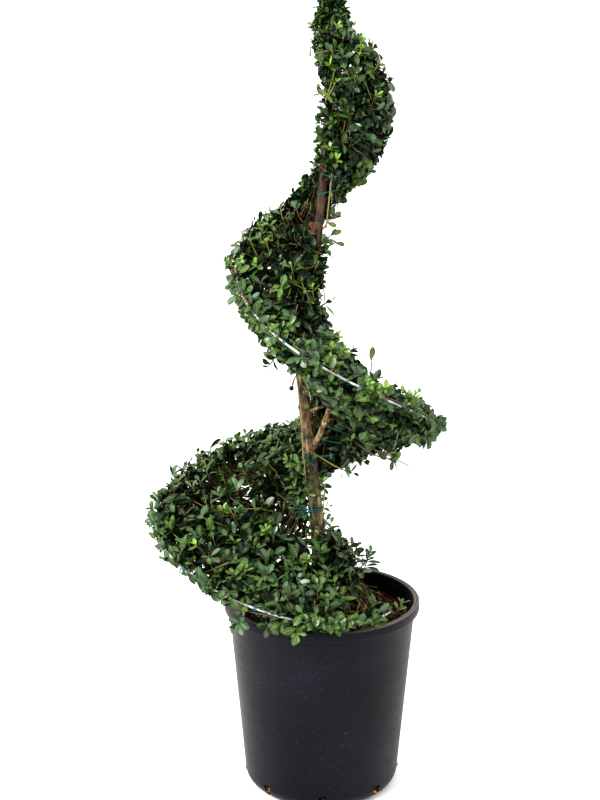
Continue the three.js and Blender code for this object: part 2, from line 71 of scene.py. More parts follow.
TRUNK = {
    "top": 1150, "foot_radius": 11.5, "tip_radius": 3, "taper_power": 1.2, "flare": 7, "flare_height": 22,
}
TRUNK_LINE = [  # height, sideways lean, front-to-back lean
    (SOIL_TOP, -2, 0), (400, -6, 3), (520, -19, 4), (643, -29, 0),
    (750, -23, -4), (853, -8, -3), (1040, 7, 2), (1150, 12, 1),
]
RIBBON = [  # turn, reach, edge height, half thickness, top, foot and sleeve beside the trunk
    (-0.3, 66, 300, 26, 345, 272, 345),
    (0.0, 108, 310, 30, 418, 272, 418),
    (0.25, 168, 325, 27, 395, 275, 395),
    (0.5, 251, 419, 31, 470, 340, 470),
    (0.75, 232, 501, 29, 576, 450, 596),
    (1.0, 200, 573, 32, 690, 506, 818),
    (1.25, 147, 694, 28, 828, 638, 847),
    (1.5, 118, 818, 35, 915, 712, 947),
    (1.75, 101, 910, 41, 999, 840, 1034),
    (2.0, 96, 1028, 69, 1130, 888, 1145),
    (2.25, 60, 1106, 58, 1172, 945, 1180),
    (2.5, 27, 1136, 30, 1176, 1085, 1182),
    (2.7, 22, 1150, 26, 1180, 1110, 1182),
]
RIBBON_TOP = 1148
SLEEVE_RADIUS = 24
FACES = {  # shares of reach and half thickness, and how the faces curve down to the edge
    "sleeve_of_reach": 0.22, "bevel_of_reach": 0.45, "bevel_of_half": 0.9,
    "upper_power": 1.35, "lower_power": 1.3,
}
TIP = {"base": 1152, "top": 1224, "radius": 29, "lean": -4}

MASSES = {  # the CAD's foliage solids, with the first and last turn of each, by section of the plant
    "low": [
        ("foliage_foot_back", -0.3, -0.06), ("foliage_foot_right", -0.06, 0.14),
        ("foliage_foot_front", 0.14, 0.36), ("foliage_low_left", 0.36, 0.61),
        ("foliage_low_back", 0.61, 0.86),
    ],
    "middle": [
        ("foliage_middle_right", 0.86, 1.1), ("foliage_middle_front", 1.1, 1.36),
        ("foliage_middle_left", 1.36, 1.62), ("foliage_middle_back", 1.62, 1.87),
    ],
    "high": [
        ("foliage_high_right", 1.87, 2.12), ("foliage_high_front", 2.12, 2.38),
        ("foliage_high_left", 2.38, 2.7),
    ],
}
WIRE = {"inset": 6, "first": 0.04, "last": 2.05, "rise_share": 0.09, "lead": 0.01, "steep": 0.03}
WIRE_LIFT = [  # turn, and height above the middle of the edge
    (0, -12), (0.3, -8), (0.5, -7), (1.0, 0), (1.2, 9), (1.5, 12), (2.05, 8),
]
BOUGH = {
    "turn": 1.17, "base": 531, "bend": (30, 545), "tip": (75, 612), "base_radius": 5, "tip_radius": 3.2,
}
TIES = [  # height of each winding of wire, and its number of turns
    (388, 1), (415, 1), (440, 5), (461, 1), (495, 2), (517, 6),
    (553, 1), (597, 2), (855, 1), (876, 1), (916, 2), (943, 1),
]
print("masses of foliage:", sum(len(masses) for masses in MASSES.values()), "and a plume at the tip")

# %% [markdown]
# ## The rule that shapes the plant
# One set of functions says where the trunk runs and where the clipped faces of the ribbon are. Everything
# that grows asks them, so the leaves keep to the space of the CAD solids. They take arrays, so that thousands
# of leaves are placed in one call. The first draws a smooth curve through the rows of a table: a cubic piece
# between each pair of rows, with slopes that fit at the joins.


# %% Smooth rows
def smooth_rows(rows, at):
    """The columns after the first, at values of the first, on a smooth curve through the rows."""
    table = np.array(rows, float)
    knots, values = table[:, 0], table[:, 1:]
    last = len(knots) - 1
    before = np.maximum(np.arange(last + 1) - 1, 0)
    after = np.minimum(np.arange(last + 1) + 1, last)
    slopes = (values[after] - values[before]) / (knots[after] - knots[before])[:, None]
    at = np.asarray(at, float)
    low = np.clip(np.searchsorted(knots, at) - 1, 0, last - 1)
    span = (knots[low + 1] - knots[low])[..., None]
    t = (at - knots[low])[..., None] / span
    bend_in, bend_out = slopes[low] * span, slopes[low + 1] * span
    rise = values[low + 1] - values[low]
    square = 3 * rise - 2 * bend_in - bend_out
    cube = bend_in + bend_out - 2 * rise
    return values[low] + t * bend_in + t**2 * square + t**3 * cube


print("trunk's lean half way up:", smooth_rows(TRUNK_LINE, 710).round(1), "mm")

# %% [markdown]
# A young trunk that was tied as it grew is never straight. This one leans to the left and back again, tapers
# evenly and flares where it meets the soil.


# %% Trunk's line and thickness
def trunk_at(height):
    """The trunk's centre at a height, as x, y, z."""
    height = np.asarray(height, float)
    lean = smooth_rows(TRUNK_LINE, np.clip(height, SOIL_TOP, TRUNK["top"]))
    return np.concatenate([lean, height[..., None]], axis=-1)


def trunk_radius(height):
    """The trunk's radius at a height, with its taper and its flare at the soil."""
    up = np.clip((height - SOIL_TOP) / (TRUNK["top"] - SOIL_TOP), 0, 1) ** TRUNK["taper_power"]
    flare = TRUNK["flare"] * np.exp(-np.maximum(height - SOIL_TOP, 0) / TRUNK["flare_height"])
    return TRUNK["foot_radius"] + (TRUNK["tip_radius"] - TRUNK["foot_radius"]) * up + flare


print("trunk at the soil:", round(2 * float(trunk_radius(SOIL_TOP)), 1), "mm across")

# %% [markdown]
# The shears leave two faces, one above and one below, that meet in a round edge. Near the trunk a sleeve of
# foliage is left on the upper face. Both faces are heights over the distance from the trunk, so one question
# settles whether a leaf is inside: is it between them?


# %% Clipped faces of the ribbon
def ribbon_at(turn):
    """Reach, edge height, half thickness, top, foot and sleeve at a turn."""
    return np.moveaxis(smooth_rows(RIBBON, turn), -1, 0)


def faces_at(turn, distance):
    """Heights of the clipped upper and lower faces at a distance from the trunk."""
    reach, edge, half, top, foot, sleeve = ribbon_at(turn)
    bevel = np.minimum(FACES["bevel_of_half"] * half, FACES["bevel_of_reach"] * reach)
    sleeve_radius = np.minimum(SLEEVE_RADIUS, FACES["sleeve_of_reach"] * reach)
    out = np.clip((distance - sleeve_radius) / (reach - bevel - sleeve_radius), 0, 1)
    upper = edge + half + np.maximum(top - edge - half, 0) * (1 - out) ** FACES["upper_power"]
    lower = edge - half - (edge - half - foot) * (1 - out) ** FACES["lower_power"]
    upper = np.where(distance < sleeve_radius, np.maximum(upper, sleeve), upper)
    into = np.clip((distance - reach + bevel) / bevel, 0, 1)
    arc = half * np.sqrt(1 - into**2)
    upper = np.where(into > 0, edge + arc, upper)
    lower = np.where(into > 0, edge - arc, lower)
    return np.minimum(upper, RIBBON_TOP), lower


def ribbon_point(turn, distance, height):
    """A point of the ribbon from its turn, its distance from the trunk and its height."""
    angle = -2 * math.pi * np.asarray(turn, float)
    point = trunk_at(np.asarray(height, float) + 0 * angle)
    point[..., 0] += distance * np.cos(angle)
    point[..., 1] += distance * np.sin(angle)
    return point


def unit(vectors):
    """The vectors brought to length 1."""
    return vectors / np.maximum(np.linalg.norm(vectors, axis=-1, keepdims=True), 1e-9)


print("ribbon's reach a half turn up:", round(float(ribbon_at(0.5)[0])), "mm")

# %% [markdown]
# The gardener ties the outermost shoots to a steel rod, which gives the ribbon its even curve. The rod stands
# in the soil, rises steeply and then follows the edge a little way inside it.


# %% Training rod's line
def wire_turns(steps):
    """The turn of each point of the training rod."""
    moved = np.maximum(np.linspace(0, 1, steps + 1) - WIRE["lead"], 0)
    return WIRE["first"] + (WIRE["last"] - WIRE["first"]) * moved**2 / (moved + WIRE["steep"])


def wire_points(steps):
    """The training rod's centre line, from the soil up along the ribbon's edge."""
    along = np.linspace(0, 1, steps + 1)
    turn = wire_turns(steps)
    reach, edge = ribbon_at(turn)[:2]
    rise = 1 - (1 - np.minimum(along / WIRE["rise_share"], 1)) ** 2
    height = SOIL_TOP + (edge + smooth_rows(WIRE_LIFT, turn)[..., 0] - SOIL_TOP) * rise
    return ribbon_point(turn, reach - WIRE["inset"], height)


print("top of the training rod:", wire_points(10)[-1].round(), "mm")

# %% [markdown]
# ## Camera
# A photographer stood a little over two metres away, with the camera at 1.13 m and tipped down by 13.5
# degrees. A lens of about 67 mm then gives the same size in a frame 800 pixels high.

# %% Camera
FRAME_WIDTH_PX = 600
FRAME_HEIGHT_PX = 800
LENS_PX = 1495  # focal length in pixels of that frame
SENSOR_MM = 36
CAMERA_PLACE = (-0.0336, -2.165, 1.128)  # metres
CAMERA_TIPPED = 13.5  # degrees below level

camera_data = bpy.data.cameras.new("camera")
camera_data.sensor_fit = "VERTICAL"
camera_data.sensor_height = SENSOR_MM
camera_data.lens = LENS_PX / FRAME_HEIGHT_PX * SENSOR_MM
camera = bpy.data.objects.new("camera", camera_data)
camera.location = CAMERA_PLACE
camera.rotation_euler = (math.radians(90 - CAMERA_TIPPED), 0, 0)
scene.collection.objects.link(camera)
scene.camera = camera
print("lens:", round(camera_data.lens, 1), "mm")

# %% [markdown]
# ## Materials
# Colours are written as sRGB hex values, as a colour picker shows them, and one function turns them to the
# linear values that Blender's shader takes. One small function adds a node with its settings and links.


# %% Colour and node helpers
def linear(hex_colour):
    """An sRGB hex colour as linear red, green, blue and alpha."""
    parts = [int(hex_colour[i : i + 2], 16) / 255 for i in (1, 3, 5)]
    return tuple(p / 12.92 if p <= 0.04045 else ((p + 0.055) / 1.055) ** 2.4 for p in parts) + (1.0,)


def add_node(tree, kind, settings=None, **links):
    """A new node. Settings are properties, or sockets by name or number, and links feed its sockets."""
    node = tree.nodes.new(kind)
    for name, value in (settings or {}).items():
        if isinstance(name, str) and hasattr(node, name):
            setattr(node, name, value)
        else:
            node.inputs[name].default_value = value
    for name, source in links.items():
        socket = node.inputs[int(name[1:])] if name[1:].isdigit() else node.inputs[name.replace("_", " ")]
        tree.links.new(source, socket)
    return node


def new_material(name, colour, roughness, **sockets):
    """A material with a principled shader, its tree and the shader's node."""
    material = bpy.data.materials.new(name)
    material.use_nodes = True
    tree = material.node_tree
    shader = tree.nodes["Principled BSDF"]
    shader.inputs["Base Color"].default_value = linear(colour)
    shader.inputs["Roughness"].default_value = roughness
    for socket, value in sockets.items():
        shader.inputs[socket.replace("_", " ")].default_value = value
    return material, tree, shader


def ramp_colours(ramp, stops):
    """Sets a colour ramp's stops from pairs of position and hex colour."""
    elements = ramp.color_ramp.elements
    while len(elements) < len(stops):
        elements.new(0.5)
    for element, (position, colour) in zip(elements, stops):
        element.position = position
        element.color = linear(colour)


print("mid grey as a linear value:", round(linear("#808080")[0], 3))

# %% [markdown]
# ## Light and floor
# A plant for a catalogue is lit by big soft boxes. A round lamp above on the left gives the leaves their
# shine, and a weaker one on the right opens the shadows.

# %% Lamps
LAMPS = [  # name, place, aim and size in metres, and watts
    ("key_lamp", (-1.7, -1.6, 2.2), (0, 0, 0.6), 0.9, 76),
    ("fill_lamp", (2.0, -1.4, 1.5), (0, 0, 0.5), 1.6, 14),
]


def area_lamp(name, place, aim, size, watts):
    """A round lamp that faces what it aims at."""
    data = bpy.data.lights.new(name, "AREA")
    data.shape = "DISK"
    data.size = size
    data.energy = watts
    lamp = bpy.data.objects.new(name, data)
    lamp.location = place
    lamp.rotation_euler = (Vector(aim) - Vector(place)).to_track_quat("-Z", "Y").to_euler()
    scene.collection.objects.link(lamp)


for lamp_row in LAMPS:
    area_lamp(*lamp_row)

# %% [markdown]
# The world is the white room round the plant, a little brighter behind and above it than in front, so that
# round things keep their shape. Two additions to an even white are enough for that.

# %% White room
ROOM_LIGHT = {"middle": 0.98, "towards_back": 0.22, "towards_ceiling": 0.15}
room = bpy.data.worlds.new("white_room")
room.use_nodes = True
tree = room.node_tree
around = add_node(tree, "ShaderNodeTexCoord").outputs["Generated"]
towards = add_node(tree, "ShaderNodeSeparateXYZ", Vector=around)
deep = add_node(
    tree, "ShaderNodeMath",
    {"operation": "MULTIPLY_ADD", 1: ROOM_LIGHT["towards_back"], 2: ROOM_LIGHT["middle"]},
    _0=towards.outputs["Y"],
)
high = add_node(
    tree, "ShaderNodeMath", {"operation": "MULTIPLY_ADD", 1: ROOM_LIGHT["towards_ceiling"]},
    _0=towards.outputs["Z"], _2=deep.outputs[0],
)
tree.links.new(high.outputs[0], tree.nodes["Background"].inputs["Strength"])
tree.nodes["Background"].inputs["Color"].default_value = (1, 1, 1, 1)
scene.world = room
scene.view_settings.view_transform = "Standard"
scene.view_settings.look = "High Contrast"
print("light from behind:", round(ROOM_LIGHT["middle"] + ROOM_LIGHT["towards_back"], 2))

# %% [markdown]
# The floor is matt white paper, so it takes a soft shadow and nothing else.

# %% Floor
FLOOR_RADIUS = 30  # metres
paper = new_material("matt_paper", "#fdfdfc", 0.9)[0]
bm = bmesh.new()
bmesh.ops.create_circle(bm, cap_ends=True, segments=64, radius=FLOOR_RADIUS)
floor_mesh = bpy.data.meshes.new("floor")
bm.to_mesh(floor_mesh)
bm.free()
floor_mesh.materials.append(paper)
floor = bpy.data.objects.new("floor", floor_mesh)
scene.collection.objects.link(floor)
print("floor:", 2 * FLOOR_RADIUS, "m across")

# %% [markdown]
# ## Making pieces
# Every piece rides on the plant's body, takes its material, and hides the CAD solids that it stands for.
# One helper takes a bmesh, for the things that are modelled.


# %% Modelled pieces
def seat_piece(mesh, name, material, replaced, smooth=True):
    """Makes an object of a mesh in place, rides it on the plant's body and hides the CAD solids it replaces.
    """
    mesh.materials.append(material)
    mesh.polygons.foreach_set("use_smooth", [smooth] * len(mesh.polygons))
    piece = bpy.data.objects.new(name, mesh)
    scene.collection.objects.link(piece)
    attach(piece, "root")
    if replaced:
        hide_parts(*replaced)
    triangles = sum(len(p.vertices) - 2 for p in mesh.polygons)
    print(f"{name}: {triangles} triangles")
    return piece


def piece_from_bmesh(bm, name, material, replaced, smooth=True):
    """A piece from a bmesh in millimetres."""
    bmesh.ops.transform(bm, matrix=Matrix.Scale(MM, 4), verts=bm.verts)
    mesh = bpy.data.meshes.new(name)
    bm.to_mesh(mesh)
    bm.free()
    return seat_piece(mesh, name, material, replaced, smooth)


# %% [markdown]
# The other takes arrays, for the thousands of leaves and twigs. An object for each leaf would take minutes,
# and one joined mesh of plain arrays is made in a moment. The faces with four corners come first.


# %% Pieces of many small things
def piece_from_arrays(points, quads, threes, name, material, replaced, uv=None, smooth=True):
    """A joined mesh from points in millimetres, four-cornered and three-cornered faces."""
    mesh = bpy.data.meshes.new(name)
    mesh.vertices.add(len(points))
    mesh.vertices.foreach_set("co", (points * MM).astype(np.float32).ravel())
    corners = np.concatenate([quads.ravel(), threes.ravel()]).astype(np.int32)
    sizes = np.concatenate([np.full(len(quads), 4), np.full(len(threes), 3)])
    starts = np.concatenate([[0], np.cumsum(sizes)[:-1]]).astype(np.int32)
    mesh.loops.add(len(corners))
    mesh.loops.foreach_set("vertex_index", corners)
    mesh.polygons.add(len(sizes))
    mesh.polygons.foreach_set("loop_start", starts)
    mesh.update(calc_edges=True)
    if uv is not None:
        layer = mesh.uv_layers.new(name="UVMap")
        layer.data.foreach_set("uv", uv[corners].astype(np.float32).ravel())
    mesh.validate()
    return seat_piece(mesh, name, material, replaced, smooth)


# %% [markdown]
# Twigs and hidden boughs are tubes, hundreds at a time. Each line gets a ring of points round every one of
# its points, square to the way ahead, and a point at either end that closes it.


# %% Arrays of tubes
def tube_arrays(lines, radii, sides):
    """Closed tubes along many lines of the same number of points: points, quads and threes."""
    count, steps = lines.shape[:2]
    ahead = unit(np.gradient(lines, axis=1))
    helper = np.where(np.abs(ahead[:, :1, 2:]) > 0.9, [1.0, 0.0, 0.0], [0.0, 0.0, 1.0])
    side = unit(np.cross(ahead, np.broadcast_to(helper, ahead.shape)))
    other = np.cross(ahead, side)
    angle = 2 * math.pi * np.arange(sides) / sides
    ring = side[:, :, None] * np.cos(angle)[:, None] + other[:, :, None] * np.sin(angle)[:, None]
    points = lines[:, :, None] + ring * radii[:, :, None, None]
    ends = lines[:, [0, -1]]
    per = steps * sides + 2
    points = np.concatenate([points.reshape(count, -1, 3), ends], axis=1).reshape(-1, 3)
    i, j = np.meshgrid(np.arange(steps - 1), np.arange(sides), indexing="ij")
    k = (j + 1) % sides
    low, high = i * sides, (i + 1) * sides
    quad = np.stack([low + j, low + k, high + k, high + j], -1).reshape(-1, 4)
    j = np.arange(sides)
    k = (j + 1) % sides
    foot = np.stack([k, j, np.full(sides, steps * sides)], -1)
    top = (steps - 1) * sides
    head = np.stack([top + j, top + k, np.full(sides, steps * sides + 1)], -1)
    shift = (np.arange(count) * per)[:, None, None]
    quads = (quad[None] + shift).reshape(-1, 4)
    threes = (np.concatenate([foot, head])[None] + shift).reshape(-1, 3)
    return points, quads, threes


# %% [markdown]
# A rod or a wire is a circle that is drawn along its route. The circle is extruded to each next point and
# turned to face along the route there, so the tube never pinches, and both ends are filled.


# %% Swept tube
def sweep(bm, route, radius, sides):
    """A round tube along a route of points, added to a bmesh."""
    route = [Vector(point) for point in route]
    ahead = (route[1] - route[0]).normalized()
    ring = bmesh.ops.create_circle(bm, segments=sides, radius=radius)["verts"]
    turned = Vector((0, 0, 1)).rotation_difference(ahead).to_matrix().to_4x4()
    bmesh.ops.transform(bm, matrix=Matrix.Translation(route[0]) @ turned, verts=ring)
    first_loop = list({edge for vert in ring for edge in vert.link_edges})
    loop = first_loop
    for step in range(1, len(route)):
        onward = (route[min(step + 1, len(route) - 1)] - route[step - 1]).normalized()
        made = bmesh.ops.extrude_edge_only(bm, edges=loop)["geom"]
        ring = {item for item in made if isinstance(item, bmesh.types.BMVert)}
        loop = [item for item in made if isinstance(item, bmesh.types.BMEdge) and set(item.verts) <= ring]
        turned = ahead.rotation_difference(onward).to_matrix().to_4x4()
        moved = Matrix.Translation(route[step]) @ turned @ Matrix.Translation(-route[step - 1])
        bmesh.ops.transform(bm, matrix=moved, verts=list(ring))
        ahead = onward
    bmesh.ops.holes_fill(bm, edges=first_loop + loop, sides=sides)


def swept_piece(routes, radius, sides, name, material, replaced):
    """One piece of several swept tubes."""
    bm = bmesh.new()
    for route in routes:
        sweep(bm, route, radius, sides)
    bmesh.ops.recalc_face_normals(bm, faces=bm.faces)
    return piece_from_bmesh(bm, name, material, replaced)


def bent_route(start, end, sag, steps=10):
    """A route between two points that sags in the middle."""
    along = np.linspace(0, 1, steps + 1)[:, None]
    straight = np.array(start) * (1 - along) + np.array(end) * along
    return straight - np.array([0, 0, 4 * sag]) * along * (1 - along)


# %% [markdown]
# ## The pot
# The pot is blown from black polythene, which has a satin skin. Dark plastic shows its shape mostly by the
# white room mirrored at its sides, so the colour itself stays plain: soft clouds of three near blacks.

# %% Polythene
CLOUD_MM = 111.1  # width of a soft cloud
plastic, tree, shader = new_material(
    "blown_black_polythene", "#141416", 0.42,
    IOR=1.3, Sheen_Weight=0.12, Sheen_Roughness=0.4, Sheen_Tint=linear("#c9b89e"),
)
place = add_node(tree, "ShaderNodeTexCoord").outputs["Object"]
cloud = add_node(tree, "ShaderNodeTexNoise", {"Scale": 1000 / CLOUD_MM, "Detail": 4.0}, Vector=place)
skin = add_node(tree, "ShaderNodeValToRGB", Fac=cloud.outputs["Fac"])
ramp_colours(skin, [(0.3, "#06070f"), (0.55, "#0b0d17"), (0.8, "#151823")])
print("roughness of the plain plastic:", round(shader.inputs["Roughness"].default_value, 2))

# %% [markdown]
# Potting leaves specks of pale dust, which cling in patches. Where the skin faces up the same pale colour is
# laid on as a painted highlight, which shows most on the lip. The specks are the centres of small cells,
# faded out where a second, larger noise is low. The greater of the two masks mixes the pale colour over the
# skin.

# %% Dust and painted highlight on the pot
CELL_MM = 5.6  # about five times the width of a speck
PATCH_MM = 38.46  # width of a patch with more specks
specks = add_node(tree, "ShaderNodeTexVoronoi", {"Scale": 1000 / CELL_MM}, Vector=place)
dust = add_node(
    tree, "ShaderNodeMapRange", {"From Min": 0.04, "From Max": 0.15, "To Min": 0.5, "To Max": 0.0},
    Value=specks.outputs["Distance"],
)
patch = add_node(tree, "ShaderNodeTexNoise", {"Scale": 1000 / PATCH_MM, "Detail": 2.0}, Vector=place)
sparse = add_node(tree, "ShaderNodeMapRange", {"From Min": 0.36, "From Max": 0.6}, Value=patch.outputs["Fac"])
dusted = add_node(tree, "ShaderNodeMath", {"operation": "MULTIPLY"}, _0=dust.outputs[0], _1=sparse.outputs[0])
facing = add_node(tree, "ShaderNodeNewGeometry").outputs["Normal"]
upward = add_node(tree, "ShaderNodeSeparateXYZ", Vector=facing).outputs["Z"]
# Painted highlight: the skin is made paler where it faces up, most of all on the lip.
painted_highlight = add_node(
    tree, "ShaderNodeMapRange", {"From Min": 0.3, "From Max": 1.0, "To Max": 0.5}, Value=upward,
)
# The specks are dust and the upward film is a painted highlight; the greater of the two is used.
dust_and_highlight = add_node(tree, "ShaderNodeMath", {"operation": "MAXIMUM"}, _0=dusted.outputs[0], _1=painted_highlight.outputs[0])
paint = add_node(
    tree, "ShaderNodeMix", {"data_type": "RGBA", 7: linear("#7f7b73")},
    _0=dust_and_highlight.outputs[0], _6=skin.outputs["Color"],
)
tree.links.new(paint.outputs[2], shader.inputs["Base Color"])
print("nodes in the pot's colour:", len(tree.nodes))

# %% [markdown]
# The skin is faintly wavy, because the mould's air escapes unevenly, and finely grained. It is scuffed round
# the pot where pots rub against each other, so that noise is drawn out level.

# %% Scuffs and waves on the pot
SCUFF_MM, SCUFF_FLATNESS = 71.43, 14  # length of a scuff, and that length over its height
GRAIN_MM = 1.4286  # coarser than the real grain, so that it shows
WAVE_MM, WAVE_OVER_GRAIN = 45.45, 6.0  # width of a wave, and its height over the grain's
scuffs = add_node(tree, "ShaderNodeMapping", {"Scale": (1, 1, SCUFF_FLATNESS)}, Vector=place)
scuff = add_node(
    tree, "ShaderNodeTexNoise", {"Scale": 1000 / SCUFF_MM, "Detail": 6.0}, Vector=scuffs.outputs[0],
)
rough = add_node(tree, "ShaderNodeMapRange", {"To Min": 0.34, "To Max": 0.54}, Value=scuff.outputs["Fac"])
tree.links.new(rough.outputs[0], shader.inputs["Roughness"])
grain = add_node(tree, "ShaderNodeTexNoise", {"Scale": 1000 / GRAIN_MM, "Detail": 2.0}, Vector=place)
wave = add_node(tree, "ShaderNodeTexNoise", {"Scale": 1000 / WAVE_MM, "Detail": 1.0}, Vector=place)
relief = add_node(
    tree, "ShaderNodeMath", {"operation": "MULTIPLY_ADD", 1: WAVE_OVER_GRAIN},
    _0=wave.outputs["Fac"], _2=grain.outputs["Fac"],
)
bump = add_node(tree, "ShaderNodeBump", {"Strength": 0.35, "Distance": 0.0002}, Height=relief.outputs[0])
tree.links.new(bump.outputs[0], shader.inputs["Normal"])
print("nodes in the pot's material:", len(tree.nodes))

# %% [markdown]
# The wall tapers, the foot corner is rounded and the lip is rolled to two ridges. The outline of the wall is
# drawn once, outside up and inside down.


# %% Pot outline
def inside_radius(height):
    """Radius of the pot's inner wall at a height."""
    up = (height - POT["corner_height"]) / (POT["height"] - POT["lip_height"] - POT["corner_height"])
    return POT["corner_radius"] + (POT["shoulder_radius"] - POT["corner_radius"]) * up - POT["wall"]


def arc(centre, radii, start, stop, steps):
    """Points of an upright ellipse's arc, as radius and height, with angles in degrees."""
    angles = np.radians(np.linspace(start, stop, steps + 1))
    return [(centre[0] + radii[0] * math.cos(a), centre[1] + radii[1] * math.sin(a)) for a in angles]


RIDGE = (2.6, 2.6)  # each of the lip's two ridges is this round
RIDGES_APART = 4.16
LIP_EDGE = (1.4, 1.4)  # the lip's lower edge
COVE = (2, 2)  # the hollow below the lip
FLAT_UNDERSIDE = 60
OUTER_ROWS, INNER_ROWS = (80, 150, 220), (284, 240, 160, 60)  # heights of points on the wall

under_lip = POT["height"] - POT["lip_height"]
ridge_centre = (POT["lip_radius"] - RIDGE[0], POT["height"] - RIDGE[1])
inner_ridge_centre = (ridge_centre[0] - RIDGES_APART, ridge_centre[1])
lip_edge_centre = (POT["lip_radius"] - LIP_EDGE[0], under_lip + LIP_EDGE[1])
cove_centre = (POT["shoulder_radius"] + COVE[0], under_lip - COVE[1])
foot_corner = (POT["corner_radius"] - POT["foot_radius"], POT["corner_height"])
foot_centre = (POT["foot_radius"], foot_corner[1])
inner_corner = (foot_corner[0] - POT["wall"] - 1, foot_corner[1])
inner_foot_centre = (POT["foot_radius"], foot_corner[1] + POT["floor"])

outline = [(0, 0), (FLAT_UNDERSIDE, 0)]
outline += arc(foot_centre, foot_corner, -90, 0, 10)
outline += [(inside_radius(z) + POT["wall"], z) for z in (*OUTER_ROWS, under_lip - 3)]
outline += arc(cove_centre, COVE, 180, 90, 3)
outline += [(lip_edge_centre[0], under_lip)]
outline += arc(lip_edge_centre, LIP_EDGE, -60, 0, 3)
outline += arc(ridge_centre, RIDGE, 0, 150, 8)
outline += arc(inner_ridge_centre, RIDGE, 40, 180, 8)
outline += [(inside_radius(z), z) for z in INNER_ROWS]
outline += arc(inner_foot_centre, inner_corner, 0, -90, 6)
outline += [(FLAT_UNDERSIDE, POT["floor"]), (0, POT["floor"])]
print("points in the pot's outline:", len(outline))

# %% [markdown]
# Such a round thing is best made by spinning its outline once round the axis, which closes the wall by
# itself.

# %% Pot spun
POT_STEPS = 144
bm = bmesh.new()
drawn = [bm.verts.new((r, 0, z)) for r, z in outline]
edges = [bm.edges.new(pair) for pair in zip(drawn, drawn[1:])]
bmesh.ops.spin(
    bm, geom=drawn + edges, axis=(0, 0, 1), cent=(0, 0, 0), angle=2 * math.pi,
    steps=POT_STEPS, use_merge=True,
)
bmesh.ops.remove_doubles(bm, verts=bm.verts, dist=0.01)
bmesh.ops.recalc_face_normals(bm, faces=bm.faces)
pot = piece_from_bmesh(bm, "pot_shell", plastic, ["pot"])

# %% [markdown]
# Eight slots drain the foot. They are cut with a Boolean, as a die would punch them: eight blocks stand in a
# ring and reach through the foot corner.

# %% Drainage slots
cutter = bmesh.new()
for index in range(SLOT["count"]):
    made = bmesh.ops.create_cube(cutter, size=1)["verts"]
    bmesh.ops.scale(cutter, vec=(SLOT["cutter_length"], SLOT["width"], 2 * SLOT["height"]), verts=made)
    bmesh.ops.translate(cutter, vec=(SLOT["inner_radius"] + SLOT["cutter_length"] / 2, 0, 0), verts=made)
    turned = Matrix.Rotation(2 * math.pi * index / SLOT["count"] - math.pi / 2, 3, "Z")
    bmesh.ops.rotate(cutter, cent=(0, 0, 0), matrix=turned, verts=made)
cutter_mesh = bpy.data.meshes.new("slot_cutter")
bmesh.ops.transform(cutter, matrix=Matrix.Scale(MM, 4), verts=cutter.verts)
cutter.to_mesh(cutter_mesh)
cutter.free()
cutter_object = bpy.data.objects.new("slot_cutter", cutter_mesh)
scene.collection.objects.link(cutter_object)

cut = pot.modifiers.new("slots", "BOOLEAN")
cut.operation = "DIFFERENCE"
cut.solver = "EXACT"
cut.object = cutter_object
bpy.context.view_layer.update()
slotted = bpy.data.meshes.new_from_object(pot.evaluated_get(bpy.context.evaluated_depsgraph_get()))
pot.modifiers.clear()
pot.data = slotted
bpy.data.objects.remove(cutter_object)
for polygon in pot.data.polygons:
    polygon.use_smooth = True
pot.data.set_sharp_from_angle(angle=math.radians(35))
print("pot faces after the slots:", len(pot.data.polygons))

# %% [markdown]
# ## The potting mix
# The pot is filled with composted bark, which shows above and through the drainage slots. It is moist, so it
# is dark and dull, with crumbs in three browns that stand up a little.

# %% Mix material
CRUMB_MM = 3.846
mix, tree, shader = new_material("moist_bark_mix", "#2c1d13", 0.85)
place = add_node(tree, "ShaderNodeTexCoord").outputs["Object"]
crumbs = add_node(
    tree, "ShaderNodeTexNoise", {"Scale": 1000 / CRUMB_MM, "Detail": 5.0, "Roughness": 0.7}, Vector=place,
)
browns = add_node(tree, "ShaderNodeValToRGB", Fac=crumbs.outputs["Fac"])
ramp_colours(browns, [(0.35, "#150e0a"), (0.52, "#332116"), (0.68, "#5b3c26")])
tree.links.new(browns.outputs["Color"], shader.inputs["Base Color"])
bump = add_node(tree, "ShaderNodeBump", {"Strength": 0.8, "Distance": 0.0015}, Height=crumbs.outputs["Fac"])
tree.links.new(bump.outputs[0], shader.inputs["Normal"])
print("nodes in the mix's material:", len(tree.nodes))

# %% [markdown]
# The mix is spun like the pot, just clear of the pot's wall, and its surface is pushed up and down by smooth
# noise, large lumps and small ones.


# %% Potting mix
def soil_height(x, y):
    """Height of the mix's uneven surface."""
    large = 3.5 * noise.noise(Vector((x / 34, y / 34, 3.7)))
    small = 1.4 * noise.noise(Vector((x / 9, y / 9, 1.2)))
    return SOIL_TOP - 3 + large + small


SOIL_RINGS = 44
SOIL_STEPS = 120
FILL_GAP = 0.4
bm = bmesh.new()
rim = inside_radius(SOIL_TOP) - FILL_GAP
drawn = [bm.verts.new((rim * ring / SOIL_RINGS, 0, SOIL_TOP)) for ring in range(SOIL_RINGS + 1)]
fill = [(inside_radius(height) - FILL_GAP, height) for height in (SOIL_TOP - 16, 200, 120, 60)]
fill_corner = (inner_corner[0] - FILL_GAP, inner_corner[1] - 0.5)
fill += arc(inner_foot_centre, fill_corner, 0, -90, 6)
fill += [(0, POT["floor"] + 0.5)]
drawn += [bm.verts.new((radius, 0, height)) for radius, height in fill]
edges = [bm.edges.new(pair) for pair in zip(drawn, drawn[1:])]
bmesh.ops.spin(
    bm, geom=drawn + edges, axis=(0, 0, 1), cent=(0, 0, 0), angle=2 * math.pi,
    steps=SOIL_STEPS, use_merge=True,
)
bmesh.ops.remove_doubles(bm, verts=bm.verts, dist=0.01)
